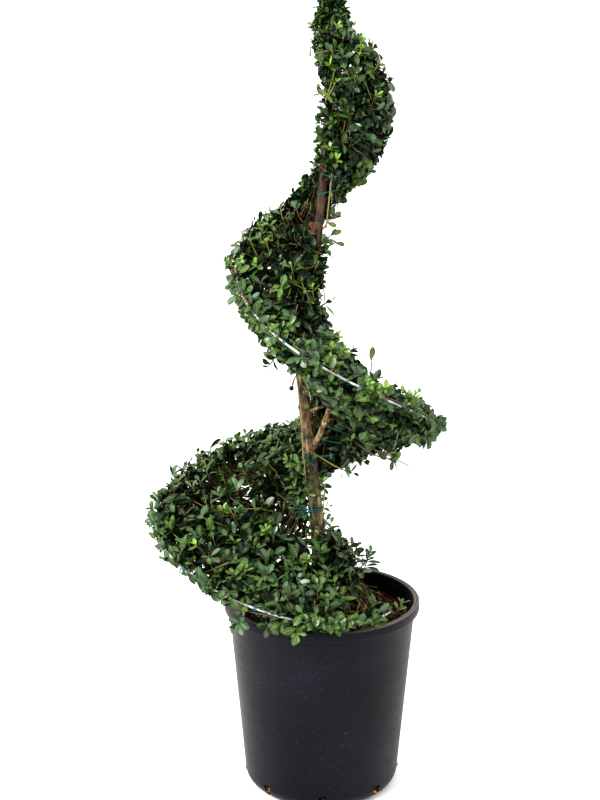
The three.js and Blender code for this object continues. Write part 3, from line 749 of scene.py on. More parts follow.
bmesh.ops.recalc_face_normals(bm, faces=bm.faces)
for vert in bm.verts:
    if vert.co.z > SOIL_TOP - 1:
        vert.co.z = soil_height(vert.co.x, vert.co.y)
piece_from_bmesh(bm, "potting_mix", mix, ["soil"])

# %% [markdown]
# Loose chips of bark lie on the mix and fill the slots from inside. Those on the mix are strewn evenly, and
# those in a slot stand close behind it.

# %% Where the chips lie
CHIPS_PER_SLOT = 5
CHIP_KINDS = [("dark", "#22160f", 700), ("red", "#7a4a2c", 620), ("tan", "#a58158", 260)]  # and their number
random = np.random.default_rng(41)


def surface_places(count):
    """Places of chips that lie on the mix."""
    radius = (rim - 5) * np.sqrt(random.random(count))
    angle = 2 * math.pi * random.random(count)
    x, y = radius * np.cos(angle), radius * np.sin(angle)
    lift = np.array([soil_height(a, b) for a, b in zip(x, y)]) + random.uniform(-0.5, 1.5, count)
    return np.stack([x, y, lift], -1)


def slot_places():
    """Places of chips that fill the drainage slots from inside."""
    count = SLOT["count"] * CHIPS_PER_SLOT
    height = random.uniform(6, SLOT["height"] - 3, count)
    wall = POT["foot_radius"] + foot_corner[0] * np.sqrt(1 - (1 - height / foot_corner[1]) ** 2)
    angle = 2 * math.pi * np.repeat(np.arange(SLOT["count"]), CHIPS_PER_SLOT) / SLOT["count"] - math.pi / 2
    out, aside = wall - random.uniform(2, 5, count), random.uniform(-4, 4, count)
    x = out * np.cos(angle) - aside * np.sin(angle)
    y = out * np.sin(angle) + aside * np.cos(angle)
    return np.stack([x, y, height], -1)


print("chips of bark:", sum(count for _, _, count in CHIP_KINDS), "on the mix")

# %% [markdown]
# Each chip is a flake: a block of eight corners with its upper corners drawn in. They are of many sizes,
# turned every way and tilted a little. Dry bark is dull, and three browns, one piece each, are enough to tell
# the chips apart.

# %% Chips of bark
CHIP = np.array([  # a flake's corners: below, then above and drawn in
    (-1, -1, -1), (1, -0.8, -1), (0.9, 1, -1), (-0.8, 0.9, -1),
    (-0.7, -0.6, 1), (0.8, -0.6, 1), (0.6, 0.7, 1), (-0.6, 0.6, 1),
], float)
CHIP_FACES = np.array([(0, 3, 2, 1), (4, 5, 6, 7), (0, 1, 5, 4), (1, 2, 6, 5), (2, 3, 7, 6), (3, 0, 4, 7)])
SMALLEST_CHIP, LARGEST_CHIP = (1.8, 1.1, 0.4), (7, 3, 1.2)  # half the length, width and thickness


def flakes(places):
    """Chips of bark of many sizes, turned and tilted at chance."""
    count = len(places)
    size = random.uniform(SMALLEST_CHIP, LARGEST_CHIP, (count, 3))
    yaw, tilt = random.uniform(0, 2 * math.pi, (count, 1)), random.normal(0, 0.35, (count, 1))
    x, y, z = np.moveaxis(CHIP[None] * size[:, None] * random.uniform(0.75, 1.25, (count, 8, 3)), -1, 0)
    y, z = y * np.cos(tilt) - z * np.sin(tilt), y * np.sin(tilt) + z * np.cos(tilt)
    x, y = x * np.cos(yaw) - y * np.sin(yaw), x * np.sin(yaw) + y * np.cos(yaw)
    quads = (CHIP_FACES[None] + (np.arange(count) * 8)[:, None, None]).reshape(-1, 4)
    return (np.stack([x, y, z], -1) + places[:, None]).reshape(-1, 3), quads


for label, colour, count in CHIP_KINDS:
    material = new_material(f"bark_chip_{label}", colour, 0.8)[0]
    points, quads = flakes(np.concatenate([surface_places(count), slot_places()]))
    no_threes = np.zeros((0, 3), int)
    piece_from_arrays(points, quads, no_threes, f"bark_chip_{label}s", material, None, smooth=False)

# %% [markdown]
# ## Trunk and bough
# Old privet bark is tan and fibrous, and peels in strips that show red-brown below. Above about 0.76 m the
# trunk turns a dark brown. The strips are noise drawn out along the trunk, the red patches a larger noise,
# and the dark brown comes in over the height.

# %% Bark
STRIP_MM, STRIP_STRETCH = 6.667, 0.22  # width of a strip, and that width over its length
RED_PATCH_MM = 29.41
DARK_FROM, DARK_ABOVE = 0.76, 0.83  # metres up, where the dark brown sets in and is complete
bark, tree, shader = new_material("fibrous_privet_bark", "#8f6f4e", 0.82)
place = add_node(tree, "ShaderNodeTexCoord").outputs["Object"]
drawn_out = add_node(tree, "ShaderNodeMapping", {"Scale": (1, 1, STRIP_STRETCH)}, Vector=place)
strips = add_node(
    tree, "ShaderNodeTexNoise", {"Scale": 1000 / STRIP_MM, "Detail": 6.0, "Roughness": 0.65},
    Vector=drawn_out.outputs[0],
)
tans = add_node(tree, "ShaderNodeValToRGB", Fac=strips.outputs["Fac"])
ramp_colours(tans, [(0.34, "#1c140e"), (0.45, "#5a4832"), (0.57, "#917d5b"), (0.7, "#c4b592")])
patches = add_node(tree, "ShaderNodeTexNoise", {"Scale": 1000 / RED_PATCH_MM, "Detail": 3.0}, Vector=place)
reds = add_node(
    tree, "ShaderNodeMapRange", {"From Min": 0.52, "From Max": 0.68, "To Max": 0.5},
    Value=patches.outputs["Fac"],
)
mixed = add_node(
    tree, "ShaderNodeMix", {"data_type": "RGBA", 7: linear("#4d3726")},
    _0=reds.outputs[0], _6=tans.outputs["Color"],
)
height = add_node(tree, "ShaderNodeSeparateXYZ", Vector=place).outputs["Z"]
dark_part = add_node(
    tree, "ShaderNodeMapRange", {"From Min": DARK_FROM, "From Max": DARK_ABOVE, "To Max": 0.82},
    Value=height,
)
darkened = add_node(
    tree, "ShaderNodeMix", {"data_type": "RGBA", 7: linear("#3f2a20")},
    _0=dark_part.outputs[0], _6=mixed.outputs[2],
)
tree.links.new(darkened.outputs[2], shader.inputs["Base Color"])
bump = add_node(tree, "ShaderNodeBump", {"Strength": 1.0, "Distance": 0.0012}, Height=strips.outputs["Fac"])
tree.links.new(bump.outputs[0], shader.inputs["Normal"])
print("nodes in the bark's material:", len(tree.nodes))

# %% [markdown]
# A limb starts as a plain cylinder with many rings. Each ring is then moved to the leaning centre line and
# turned to face along it, and its points go in and out by noise that is drawn out along the limb. That gives
# ridges, strips and loose flakes that stand proud.


# %% Limbs with relief
def bark_limb(name, centre_at, radius_at, sides, rings, relief, replaced):
    """A limb with the bark's relief along a centre line that takes a share from 0 to 1."""
    bm = bmesh.new()
    bmesh.ops.create_cone(bm, cap_ends=True, cap_tris=True, segments=sides, radius1=1, radius2=1, depth=1)
    upright = [edge for edge in bm.edges if abs(edge.verts[0].co.z - edge.verts[1].co.z) > 0.5]
    bmesh.ops.subdivide_edges(bm, edges=upright, cuts=rings, use_grid_fill=True)
    for vert in bm.verts:
        along = vert.co.z + 0.5
        centre = Vector(centre_at(along))
        ahead = Vector(centre_at(min(along + 0.01, 1))) - Vector(centre_at(max(along - 0.01, 0)))
        turned = Vector((0, 0, 1)).rotation_difference(ahead.normalized())
        ring = Vector((vert.co.x, vert.co.y, 0))
        ridge = noise.noise(Vector((ring.x * 2.4, ring.y * 2.4, centre.z / 60)))
        strip = noise.noise(Vector((ring.x * 6, ring.y * 6, centre.z / 28 + 9)))
        flake = max(noise.noise(Vector((ring.x * 3, ring.y * 3, centre.z / 16 + 40))) - 0.25, 0)
        out = radius_at(along) + relief * (ridge + 0.5 * strip + 1.6 * flake)
        vert.co = centre + turned @ (ring * out)
    return piece_from_bmesh(bm, name, bark, replaced)


def trunk_centre(along):
    """The trunk's centre at a share of its length, from just below the mix up."""
    return trunk_at(SOIL_TOP - 3 + (TRUNK["top"] - SOIL_TOP + 3) * along)


def trunk_size(along):
    """The trunk's radius at a share of its length."""
    return float(trunk_radius(SOIL_TOP + (TRUNK["top"] - SOIL_TOP) * along))


bark_limb("bark_trunk", trunk_centre, trunk_size, sides=48, rings=300, relief=1.1, replaced=["trunk"])

# %% [markdown]
# One bough shows bare on its way to the right front of the middle turn. It bends up from the trunk, so its
# centre line is a curve with one control point, and it gets the same bark with half the relief.


# %% Bare bough
def bough_centre(along):
    """The bare bough's centre at a share of its length."""
    places = ((0, BOUGH["base"]), BOUGH["bend"], BOUGH["tip"])
    base, bend, tip = (ribbon_point(BOUGH["turn"], *place) for place in places)
    return (1 - along) ** 2 * base + 2 * along * (1 - along) * bend + along**2 * tip


def bough_size(along):
    """The bare bough's radius at a share of its length."""
    return BOUGH["base_radius"] + (BOUGH["tip_radius"] - BOUGH["base_radius"]) * along


bark_limb("bark_bough", bough_centre, bough_size, sides=20, rings=50, relief=0.5, replaced=["bough_right"])

# %% [markdown]
# ## The training rod
# A steel rod in a pale grey plastic coat holds the ribbon's edge to its curve. It is one tube along the edge.
# The coat has an even, soft shine under grime in three greys, which keeps it from looking like a drawn line.

# %% Training rod
GRIME_MM = 16.667  # length of a smear of grime
coat, tree, shader = new_material("pale_coated_steel", "#d3d5d2", 0.35, IOR=1.5)
place = add_node(tree, "ShaderNodeTexCoord").outputs["Object"]
grime = add_node(tree, "ShaderNodeTexNoise", {"Scale": 1000 / GRIME_MM, "Detail": 4.0}, Vector=place)
greys = add_node(tree, "ShaderNodeValToRGB", Fac=grime.outputs["Fac"])
ramp_colours(greys, [(0.35, "#77797a"), (0.5, "#b4b6b5"), (0.7, "#dcdddb")])
tree.links.new(greys.outputs["Color"], shader.inputs["Base Color"])
ROD_STEPS = 360
ROD_RADIUS = 1.7
rod = wire_points(ROD_STEPS)
swept_piece([rod], ROD_RADIUS, 12, "training_rod", coat, ["training_wire"])

# %% [markdown]
# ## Tying wire
# Thin green-blue coated wire is wound round the trunk in a dozen places. A hand winds it loosely, so each
# winding is a helix whose radius, rise and tilt sway a little. The plastic coat gives it a small shine, and
# one colour is enough for so thin a wire.

# %% Windings round the trunk
green_coat = new_material("teal_coated_wire", "#1b5f5d", 0.4, IOR=1.5)[0]
TIE_RADIUS = 0.55
TIE_PITCH = 3.1
random = np.random.default_rng(7)


def winding(height, turns):
    """A loose helix round the trunk, which spreads its strands over the height of the CAD's sleeve."""
    turns = max(1, round(0.6 * turns))
    along = np.linspace(0, 1, 26 * turns + 12)
    angle = 2 * math.pi * (turns + 0.4) * along + random.uniform(0, 6)
    radius = trunk_radius(height) + TIE_RADIUS + 0.9 + 0.25 * np.sin(3 * angle + random.uniform(0, 6))
    sway = 1.2 * np.sin(angle + random.uniform(0, 6)) + 0.5 * np.sin(2.3 * angle)
    tilt = random.normal(0, 0.05, 2)
    line = trunk_at(height + (along - 0.5) * turns * TIE_PITCH + sway)
    line[:, 0] += radius * np.cos(angle)
    line[:, 1] += radius * np.sin(angle)
    line[:, 2] += tilt[0] * radius * np.cos(angle) + tilt[1] * radius * np.sin(angle)
    return line


for index, (height, turns) in enumerate(TIES):
    number = f"{index + 1:02d}"
    route = winding(height, turns)
    swept_piece([route], TIE_RADIUS, 6, f"tie_winding_{number}", green_coat, [f"tie_{number}"])

# %% [markdown]
# Long strands of the wire run from some windings into the foliage, and short windings bind the outer shoots
# to the rod.

# %% Strands and bindings
TIE_STRANDS = [  # both ends of the strands that run from the windings into the foliage
    ((-1, -16, 577), (31, -30, 566)), ((-12, -20, 556), (29, -30, 550)), ((-12, -20, 528), (18, -28, 532)),
    ((-2, -20, 447), (-44, -34, 456)), ((0, -21, 444), (-45, -37, 451)), ((-4, -21, 441), (-46, -40, 446)),
    ((-6, -21, 438), (-38, -34, 440)), ((-28, -17, 528), (-9, -20, 507)), ((-25, -22, 397), (3, -26, 392)),
    ((-3, -15, 916), (22, -18, 921)), ((-2, -14, 943), (24, -16, 941)),
]
ROD_TIES = [0.33, 0.42, 1.09, 1.165, 1.225, 1.285, 1.36]  # turns at which shoots are bound to the rod
BINDING = {"radius": 3.4, "rise": 0.28, "turns": 3}


def rod_binding(turn):
    """Windings round the rod and the shoots beside it."""
    nearest = np.argmin(np.abs(rod_turns - turn))
    ahead = Vector(rod[nearest + 1] - rod[nearest - 1]).normalized()
    turned = Vector((0, 0, 1)).rotation_difference(ahead)
    angles = np.linspace(0, 2 * math.pi * BINDING["turns"], 40)
    ring = [Vector((math.cos(angle), math.sin(angle), 0)) * BINDING["radius"] for angle in angles]
    lift = [Vector((0, 0, BINDING["rise"] * (angle - 9))) for angle in angles]
    return [Vector(rod[nearest]) + turned @ (out + up) for out, up in zip(ring, lift)]


rod_turns = wire_turns(ROD_STEPS)
strands = [bent_route(start, end, random.uniform(-1, 3)) for start, end in TIE_STRANDS]
swept_piece(strands, TIE_RADIUS, 6, "tie_strands", green_coat, None)
swept_piece([rod_binding(turn) for turn in ROD_TIES], TIE_RADIUS, 6, "rod_bindings", green_coat, None)

# %% [markdown]
# ## How the foliage grows
# A clipped shrub has boughs inside, twigs that fork from them, and short leafy shoots that end at the clipped
# face. The shoots are spread evenly over the faces. Each starts from a fork among the boughs, turns towards
# the face and carries crossed pairs of leaves, small at the tip and larger lower down.
#
# First come the directions and distances that all of this is measured with.

# %% Measures in the ribbon
UP = np.array([0, 0, 1.0])


def radial(turn):
    """Level direction away from the trunk at a turn."""
    angle = -2 * math.pi * np.asarray(turn, float)
    return np.stack([np.cos(angle), np.sin(angle), 0 * angle], -1)


def noise_at(points, size, seed):
    """Smooth noise at many points, with lumps of about this size."""
    return np.array([noise.noise(Vector(point) / size + Vector((0, 0, seed))) for point in points])


def polar(points):
    """Distance from the trunk, and part of a turn from -0.5 to 0.5, of points."""
    beside = points - trunk_at(points[..., 2])
    part = -np.arctan2(beside[..., 1], beside[..., 0]) / (2 * math.pi)
    return np.hypot(beside[..., 0], beside[..., 1]), part


in_front = np.array([-10.0, -100.0, 500.0])
print("turn of a place in front of the trunk:", round(float(polar(in_front)[1]), 2))

# %% [markdown]
# The clipped faces say whether a place is inside the ribbon, and how far past it a place stands. Shoots and
# leaves also have to keep out of the trunk, the pot's wall and the mix, with a small margin.


# %% Inside and outside
def past_at(turn, distance, height):
    """How far a place stands past the clipped faces. Inside them it is below zero."""
    reach = ribbon_at(turn)[0]
    upper, lower = faces_at(turn, np.minimum(distance, reach))
    return np.maximum.reduce([distance - reach, height - upper, lower - height])


def past_face(points, first, last):
    """How far points stand past the clipped faces between two turns."""
    distance, part = polar(points)
    turn = part + np.round((first + last) / 2 - part)
    return past_at(np.clip(turn, first - 0.02, last + 0.02), distance, points[..., 2])


def blocked(points):
    """Whether points are in the trunk, the pot's wall or the soil."""
    beside = points - trunk_at(points[..., 2])
    near = np.hypot(beside[..., 0], beside[..., 1]) < trunk_radius(points[..., 2]) + 1.5
    in_trunk = near & (points[..., 2] < TRUNK["top"])
    from_axis = np.hypot(points[..., 0], points[..., 1])
    low = points[..., 2] < POT["height"] + 1.5
    in_wall = low & (from_axis > inside_radius(SOIL_TOP) - 3) & (from_axis < POT["lip_radius"] + 1.5)
    in_soil = (points[..., 2] < SOIL_TOP + 1) & (from_axis < POT["lip_radius"])
    return in_trunk | in_wall | in_soil


print("from a place in the first turn to its faces:", round(-float(past_at(0.5, 120.0, 410.0))), "mm")

# %% [markdown]
# The shoots stand evenly on the clipped faces. At each small step of turn the ribbon is cut across. Shares of
# that outline's length give points on it, from the upper face round the edge to the lower face.

# %% Outline across the ribbon
OUTLINE_SHARES = np.array([0.08, 0.15, 0.21, 0.23, 0.35, 0.5, 0.65, 0.75, 0.83, 0.9, 0.95, 0.98, 0.995, 1])


def outline_points(turn, shares):
    """Distances and heights at shares of the outline across the ribbon at one turn, and its length."""
    distance = OUTLINE_SHARES * float(ribbon_at(turn)[0])
    upper, lower = faces_at(np.full(len(distance), turn), distance)
    outward = np.concatenate([distance, distance[::-1][1:]])
    height = np.concatenate([upper, lower[::-1][1:]])
    walked = np.concatenate([[0], np.cumsum(np.hypot(np.diff(outward), np.diff(height)))])
    at = np.clip(shares, 0, 1) * walked[-1]
    return np.interp(at, walked, outward), np.interp(at, walked, height), walked[-1]


print("outline across the ribbon on the left:", round(outline_points(0.5, np.array([0.0]))[2]), "mm long")

# %% [markdown]
# A row of spots is spread along each such outline, fewer near the trunk, where the rows crowd together. Each
# spot knows which way is out of the face, so a shoot can grow towards it.

# %% Spots on the faces
SHOOT_SPACING = 14.6


def as_spots(turn, distance, place, outward, scale):
    """Rows of turn, distance, place, outward direction and leaf scale."""
    same = np.ones(len(place))
    return np.column_stack([turn * same, distance * same, place, outward, scale * same])


def row_of_spots(turn, spacing, scale, random):
    """Spots along the ribbon's cut outline at one turn."""
    count = max(3, round(outline_points(turn, np.array([0.0]))[2] / spacing))
    shares = (np.arange(count) + random.random(count)) / count
    distance, height, _ = outline_points(turn, shares)
    keep = random.random(count) * 0.75 * float(ribbon_at(turn)[0]) < distance
    shares, distance, height = shares[keep], distance[keep], height[keep]
    place = ribbon_point(turn, distance, height)
    ahead = ribbon_point(turn + 0.01, *outline_points(turn + 0.01, shares)[:2])
    ahead -= ribbon_point(turn - 0.01, *outline_points(turn - 0.01, shares)[:2])
    across = ribbon_point(turn, *outline_points(turn, shares + 0.02)[:2])
    across -= ribbon_point(turn, *outline_points(turn, shares - 0.02)[:2])
    outward = unit(np.cross(ahead, across))
    upper, lower = faces_at(np.full(len(distance), turn), 0.8 * distance)
    inner = ribbon_point(turn, 0.8 * distance, (upper + lower) / 2)
    outward[np.sum(outward * (place - inner), axis=-1) < 0] *= -1
    return as_spots(turn, distance, place, outward, scale)


def face_spots(first, last, random):
    """Evenly spread spots on the clipped faces between two turns."""
    reach = float(ribbon_at((first + last) / 2)[0])
    scale = min(0.74 + reach / 900, 1)
    spacing = SHOOT_SPACING * scale
    rows = max(3, round(2 * math.pi * (last - first) * 0.8 * reach / spacing))
    turns = first + (last - first) * (np.arange(rows) + 0.5 + random.uniform(-0.3, 0.3, rows)) / rows
    return np.concatenate([row_of_spots(turn, spacing, scale, random) for turn in turns])


trial = np.random.default_rng(1)
trial_spots = face_spots(0.4, 0.5, trial)
print("shoots in a tenth of a turn on the left:", len(trial_spots))

# %% [markdown]
# Where the ribbon is thin, whole patches are bare and let the light through. Such a patch is picked along the
# line of sight, because a gap only shows as a gap when the upper and the lower face are both open there. Over
# the soil on the right only a few low sprays grow.

# %% Open patches
PATCH_SIZE = 15
THIN_PARTS = [(-0.1, 0.16, 0.3), (0.36, 0.64, 0.27), (1.3, 1.62, 0.16)]  # turns, and share of shoots missing
SPARSE_FOOT = {"last": 0.2, "from": 0.6, "patch": -0.5}  # the outer part over the soil, on the right


def thinned(spots):
    """The spots that are left where the ribbon is thin."""
    place = spots[:, 2:5]
    tip_down = math.pi / 2 - camera.rotation_euler.x
    seen_height = place[:, 2] * math.cos(tip_down) + place[:, 1] * math.sin(tip_down)
    patch = noise_at(np.stack([place[:, 0], 0 * seen_height, seen_height], -1), PATCH_SIZE, 5.0)
    keep = np.ones(len(spots), bool)
    for first, last, share in THIN_PARTS:
        inside = (spots[:, 0] > first) & (spots[:, 0] < last)
        if inside.any():
            keep &= ~inside | (patch < np.quantile(patch[inside], 1 - share))
    reach = ribbon_at(spots[:, 0])[0]
    sparse = (spots[:, 0] < SPARSE_FOOT["last"]) & (spots[:, 1] > SPARSE_FOOT["from"] * reach)
    return spots[keep & ~(sparse & (patch > SPARSE_FOOT["patch"]))]


print("of them left where the ribbon is thin:", len(thinned(trial_spots)))

# %% [markdown]
# Shears never leave a face quite even. Most shoots end a few millimetres inside it, and some that the shears
# missed stand proud of it, more of them on the upper side. A few parts were clipped closer.

# %% How far shoots stand out
CLIPPED_INSIDE = (-13, -3)
PROUD = (0, 7)
MISSED_SHARE = 0.11
MISSED_MORE_ABOVE = 0.12
CLIPPED_CLOSER = [(0.36, 0.56, 5), (1.36, 1.66, 6), (2.3, 2.7, 6)]  # turns, and millimetres


def proud_of_face(spots, random):
    """How far each shoot's tip stands past the face."""
    count = len(spots)
    proud = random.uniform(*CLIPPED_INSIDE, count)
    missed = random.random(count) < MISSED_SHARE + MISSED_MORE_ABOVE * np.clip(spots[:, 7], 0, 1)
    proud[missed] = random.uniform(*PROUD, count)[missed]
    for start, stop, closer in CLIPPED_CLOSER:
        proud[(spots[:, 0] > start) & (spots[:, 0] < stop)] -= closer
    return proud


print("of them proud of the face:", int((proud_of_face(trial_spots, trial) > 0).sum()))

# %% [markdown]
# In some places shoots grow over the training rod. They spring from the edge and most of them hang over the
# rod's front, so the rod shows for a short way and then is hidden again.

# %% Shoots over the rod
ROD_COVER = [  # turns, and number of shoots that grow over the rod
    (0.12, 0.2, 6), (0.2, 0.272, 13), (0.345, 0.37, 3), (0.375, 0.41, 7), (0.425, 0.6, 27),
    (0.84, 1.06, 24), (1.075, 1.1, 4), (1.13, 1.165, 8), (1.228, 1.258, 7), (1.3, 1.345, 12),
    (1.345, 1.38, 8), (1.38, 1.64, 46),
]
ROD_COVER_SIDE = np.array([0, -0.7, 0])


def rod_spots(first, last, random):
    """Spots on the training rod between two turns, where leaves grow over it."""
    spots = [np.zeros((0, 9))]
    for start, stop, count in ROD_COVER:
        turn = start + (stop - start) * (np.arange(count) + random.random(count)) / count
        turn = turn[(turn > first) & (turn < last)]
        if len(turn):
            reach, edge = ribbon_at(turn)[:2]
            height = edge + smooth_rows(WIRE_LIFT, turn)[:, 0] + random.uniform(-6, 7, len(turn))
            outward = 0.6 * radial(turn) + ROD_COVER_SIDE
            outward = unit(outward + UP * random.uniform(-0.4, 0.7, len(turn))[:, None])
            spots.append(as_spots(turn, reach, ribbon_point(turn, reach, height), outward, 0.9))
    return np.concatenate(spots)


print("shoots over the rod:", sum(count for _, _, count in ROD_COVER))

# %% [markdown]
# Short shoots also grow close round the trunk and hide parts of it, and a small plume of them ends the plant
# above the trunk's tip. Round the trunk each shoot stands a golden part of a turn on from the last, which is
# how real buds are set.

# %% Shoots round the trunk and the plume
TRUNK_COVER = [  # heights, distance, number of shoots and turns where short shoots hide the trunk
    (948, 1046, 9, 26, 0, 1), (378, 424, 15, 9, 0, 1), (436, 520, 30, 24, 0.36, 0.68),
    (745, 850, 13, 14, -0.15, 0.15), (425, 500, 15, 7, -0.1, 0.12), (800, 842, 11, 7, 0.2, 0.6),
    (520, 560, 14, 4, 0.3, 0.6),
]
GOLDEN_PART = 0.382
PLUME = {"rows": 11, "spacing": 11, "taper_power": 0.8}


def trunk_spots(random):
    """Spots close round the trunk, where short shoots hide it."""
    spots = []
    for bottom, top, radius, count, first, last in TRUNK_COVER:
        height = bottom + (top - bottom) * (np.arange(count) + random.random(count)) / count
        part = (np.arange(count) * GOLDEN_PART + random.uniform(-0.06, 0.06, count)) % 1
        turn = first + (last - first) * part
        distance = radius * random.uniform(0.8, 1.2, count)
        outward = unit(radial(turn) + UP * 0.5)
        spots.append(as_spots(turn, distance, ribbon_point(turn, distance, height), outward, 0.8))
    return np.concatenate(spots)


def plume_spots(random):
    """Spots on the plume above the trunk's tip."""
    spots = []
    foot = trunk_at(TRUNK["top"])
    for height in np.linspace(TIP["base"] - 6, TIP["top"] - 4, PLUME["rows"]):
        up = np.clip((height - TIP["base"]) / (TIP["top"] - TIP["base"]), 0, 1)
        radius = TIP["radius"] * (1 - up) ** PLUME["taper_power"]
        centre = np.array([foot[0] + TIP["lean"] * up, foot[1], height])
        count = max(2, round(2 * math.pi * radius / PLUME["spacing"]))
        turn = (np.arange(count) + random.random(count)) / count
        outward = unit(radial(turn) + UP * (0.6 + up))
        spots.append(as_spots(turn, radius, centre + radial(turn) * radius, outward, 0.8))
    return np.concatenate(spots)


print("shoots round the trunk:", len(trunk_spots(trial)), "and on the plume:", len(plume_spots(trial)))

# %% [markdown]
# New rosettes and berries stand out, so they grow where the photograph shows them. The line of sight through
# a pixel of the frame is followed until it meets the clipped faces, and the shoot grows from there, so it is
# rooted in the ribbon from every side.

# %% Spots by line of sight
YOUNG_SEEN_PX = [  # column and row of the pale new rosettes in the frame
    (267, 529), (195, 545), (268, 224), (261, 229), (252, 244), (243, 260), (232, 266), (257, 264),
    (312, 289), (325, 302), (336, 336), (331, 349), (343, 352), (367, 383), (376, 390), (385, 389),
    (409, 396), (416, 399), (337, 27), (360, 40), (361, 50), (329, 66), (336, 83), (377, 96), (329, 148),
    (337, 160), (273, 201), (292, 183), (306, 560),
]
BERRY_SEEN_PX = [  # column and row of the berries
    (321, 71), (355, 88), (336, 108), (341, 110), (349, 141), (350, 17), (374, 162), (380, 156), (388, 121),
    (236, 278), (270, 299), (289, 300), (303, 345), (296, 316), (308, 210), (311, 216),
]
SIGHT_MM = (1600, 2600)  # the plant stands between these distances from the camera


def spots_seen(pixels, scale):
    """Spots on the clipped faces that the lines of sight through pixels of the frame meet first."""
    tip_down = math.pi / 2 - camera.rotation_euler.x
    steps = np.arange(*SIGHT_MM, 2.0)[:, None]
    spots = []
    for column, row in pixels:
        right = (column - FRAME_WIDTH_PX / 2) / LENS_PX
        above = (FRAME_HEIGHT_PX / 2 - row) / LENS_PX
        ahead = math.cos(tip_down) + above * math.sin(tip_down)
        sight = unit(np.array([right, ahead, above * math.cos(tip_down) - math.sin(tip_down)]))
        points = np.array(camera.location) / MM + sight * steps
        distance, part = polar(points)
        turns = part[:, None] + np.arange(4)
        within = (turns > RIBBON[0][0]) & (turns < RIBBON[-1][0])
        turns = np.clip(turns, RIBBON[0][0], RIBBON[-1][0])
        inside = within & (past_at(turns, distance[:, None], points[:, 2:]) < 0)
        if inside.any():
            step = np.argmax(inside.any(axis=1))
            turn = turns[step, np.argmax(inside[step])]
            outward = unit(0.3 * radial(turn) - 0.5 * sight + 0.5 * UP)
            spots.append(as_spots(turn, distance[step], points[step : step + 1], outward[None], scale))
    return np.concatenate(spots)


print("rosettes that meet the ribbon:", len(spots_seen(YOUNG_SEEN_PX, 1)), "of", len(YOUNG_SEEN_PX))

# %% [markdown]
# Every mass has boughs inside it. They run from the trunk through the middle of the ribbon towards its edge,
# about twenty degrees apart, and the twigs fork from between them.

# %% Hidden boughs
HIDDEN_BOUGH = {
    "every": 0.055, "points": 9, "drift": 0.035, "of_reach": 0.86, "start": 0.3, "rise_ends": 0.45,
    "root_radius": 2.9, "end_radius": 1.2,
}


def bough_line(turn):
    """A hidden bough through the middle of the ribbon, from the trunk out towards the edge."""
    out = np.linspace(0, 1, HIDDEN_BOUGH["points"])
    reach, _, _, top, foot = ribbon_at(turn)[:5]
    turned = turn + HIDDEN_BOUGH["drift"] * out**2 - 0.01
    distance = HIDDEN_BOUGH["of_reach"] * reach * out
    upper, lower = faces_at(turned, np.maximum(distance, 0.3 * reach))
    middle = 0.52 * upper + 0.48 * lower
    start = foot + HIDDEN_BOUGH["start"] * (top - foot)
    height = start + (middle - start) * np.minimum(out / HIDDEN_BOUGH["rise_ends"], 1) ** 0.8
    return ribbon_point(turned, distance, height)


print("end of a hidden bough on the left:", bough_line(0.5)[-1].round(), "mm")

# %% [markdown]
# A leaf is two small sheets that meet at the midrib: fourteen points and ten faces. Its outline is narrow at
# the stalk and widest past the middle. Each leaf has its own fold, curl and size.

# %% Leaf arrays
LEAF_ALONG = np.array([0.0] + [0.14] * 3 + [0.38] * 3 + [0.66] * 3 + [0.89] * 3 + [1.0])
LEAF_ACROSS = np.array([0.0] + [1, 0, -1] * 4 + [0.0])
LEAF_WIDTH = np.array([0.0] + [0.34] * 3 + [0.84] * 3 + [1.0] * 3 + [0.64] * 3 + [0.0])
LEAF_QUADS = np.array([
    quad for step in (0, 3, 6)
    for quad in ((2 + step, 5 + step, 4 + step, 1 + step), (3 + step, 6 + step, 5 + step, 2 + step))
])
LEAF_THREES = np.array([(0, 2, 1), (0, 3, 2), (11, 13, 10), (12, 13, 11)])
LEAF_UV = np.stack([0.5 + 0.5 * LEAF_ACROSS, LEAF_ALONG], -1)
LEAF_POINTS = len(LEAF_ALONG)
MIDRIB = [0, 2, 5, 8, 11, 13]
LEAF_HALF_WIDTH = (0.22, 0.28)  # shares of the leaf's length
LEAF_FOLD = (0.08, 0.36)
LEAF_CURL = (-0.05, 0.2)


def leaf_points(leaves, random):
    """Corners of many leaves, from their roots, directions, upper sides and lengths."""
    root, direction, upper, length = leaves["root"], leaves["direction"], leaves["upper"], leaves["length"]
    count = len(length)
    across = np.cross(upper, direction)
    half = length * random.uniform(*LEAF_HALF_WIDTH, count)
    fold = random.uniform(*LEAF_FOLD, count)
    curl = random.uniform(*LEAF_CURL, count)
    wave = random.normal(0, 0.03, (count, LEAF_POINTS))
    along = LEAF_ALONG[None] * length[:, None]
    side = LEAF_ACROSS * LEAF_WIDTH * half[:, None]
    lift = np.abs(side) * fold[:, None] - curl[:, None] * along * LEAF_ALONG + wave * half[:, None]
    points = root[:, None] + direction[:, None] * along[..., None] + across[:, None] * side[..., None]
    return points + upper[:, None] * lift[..., None]


def sharpen_midribs(mesh):
    """Marks each leaf's midrib as a sharp edge, so that its two halves shade apart."""
    pairs = np.zeros(len(mesh.edges) * 2, np.int32)
    mesh.edges.foreach_get("vertices", pairs)
    on_rib = np.isin(pairs.reshape(-1, 2) % LEAF_POINTS, MIDRIB).all(axis=1)
    marks = mesh.attributes.new("sharp_edge", "BOOLEAN", "EDGE")
    marks.data.foreach_set("value", on_rib)


print("a leaf:", LEAF_POINTS, "points and", len(LEAF_QUADS) + len(LEAF_THREES), "faces")

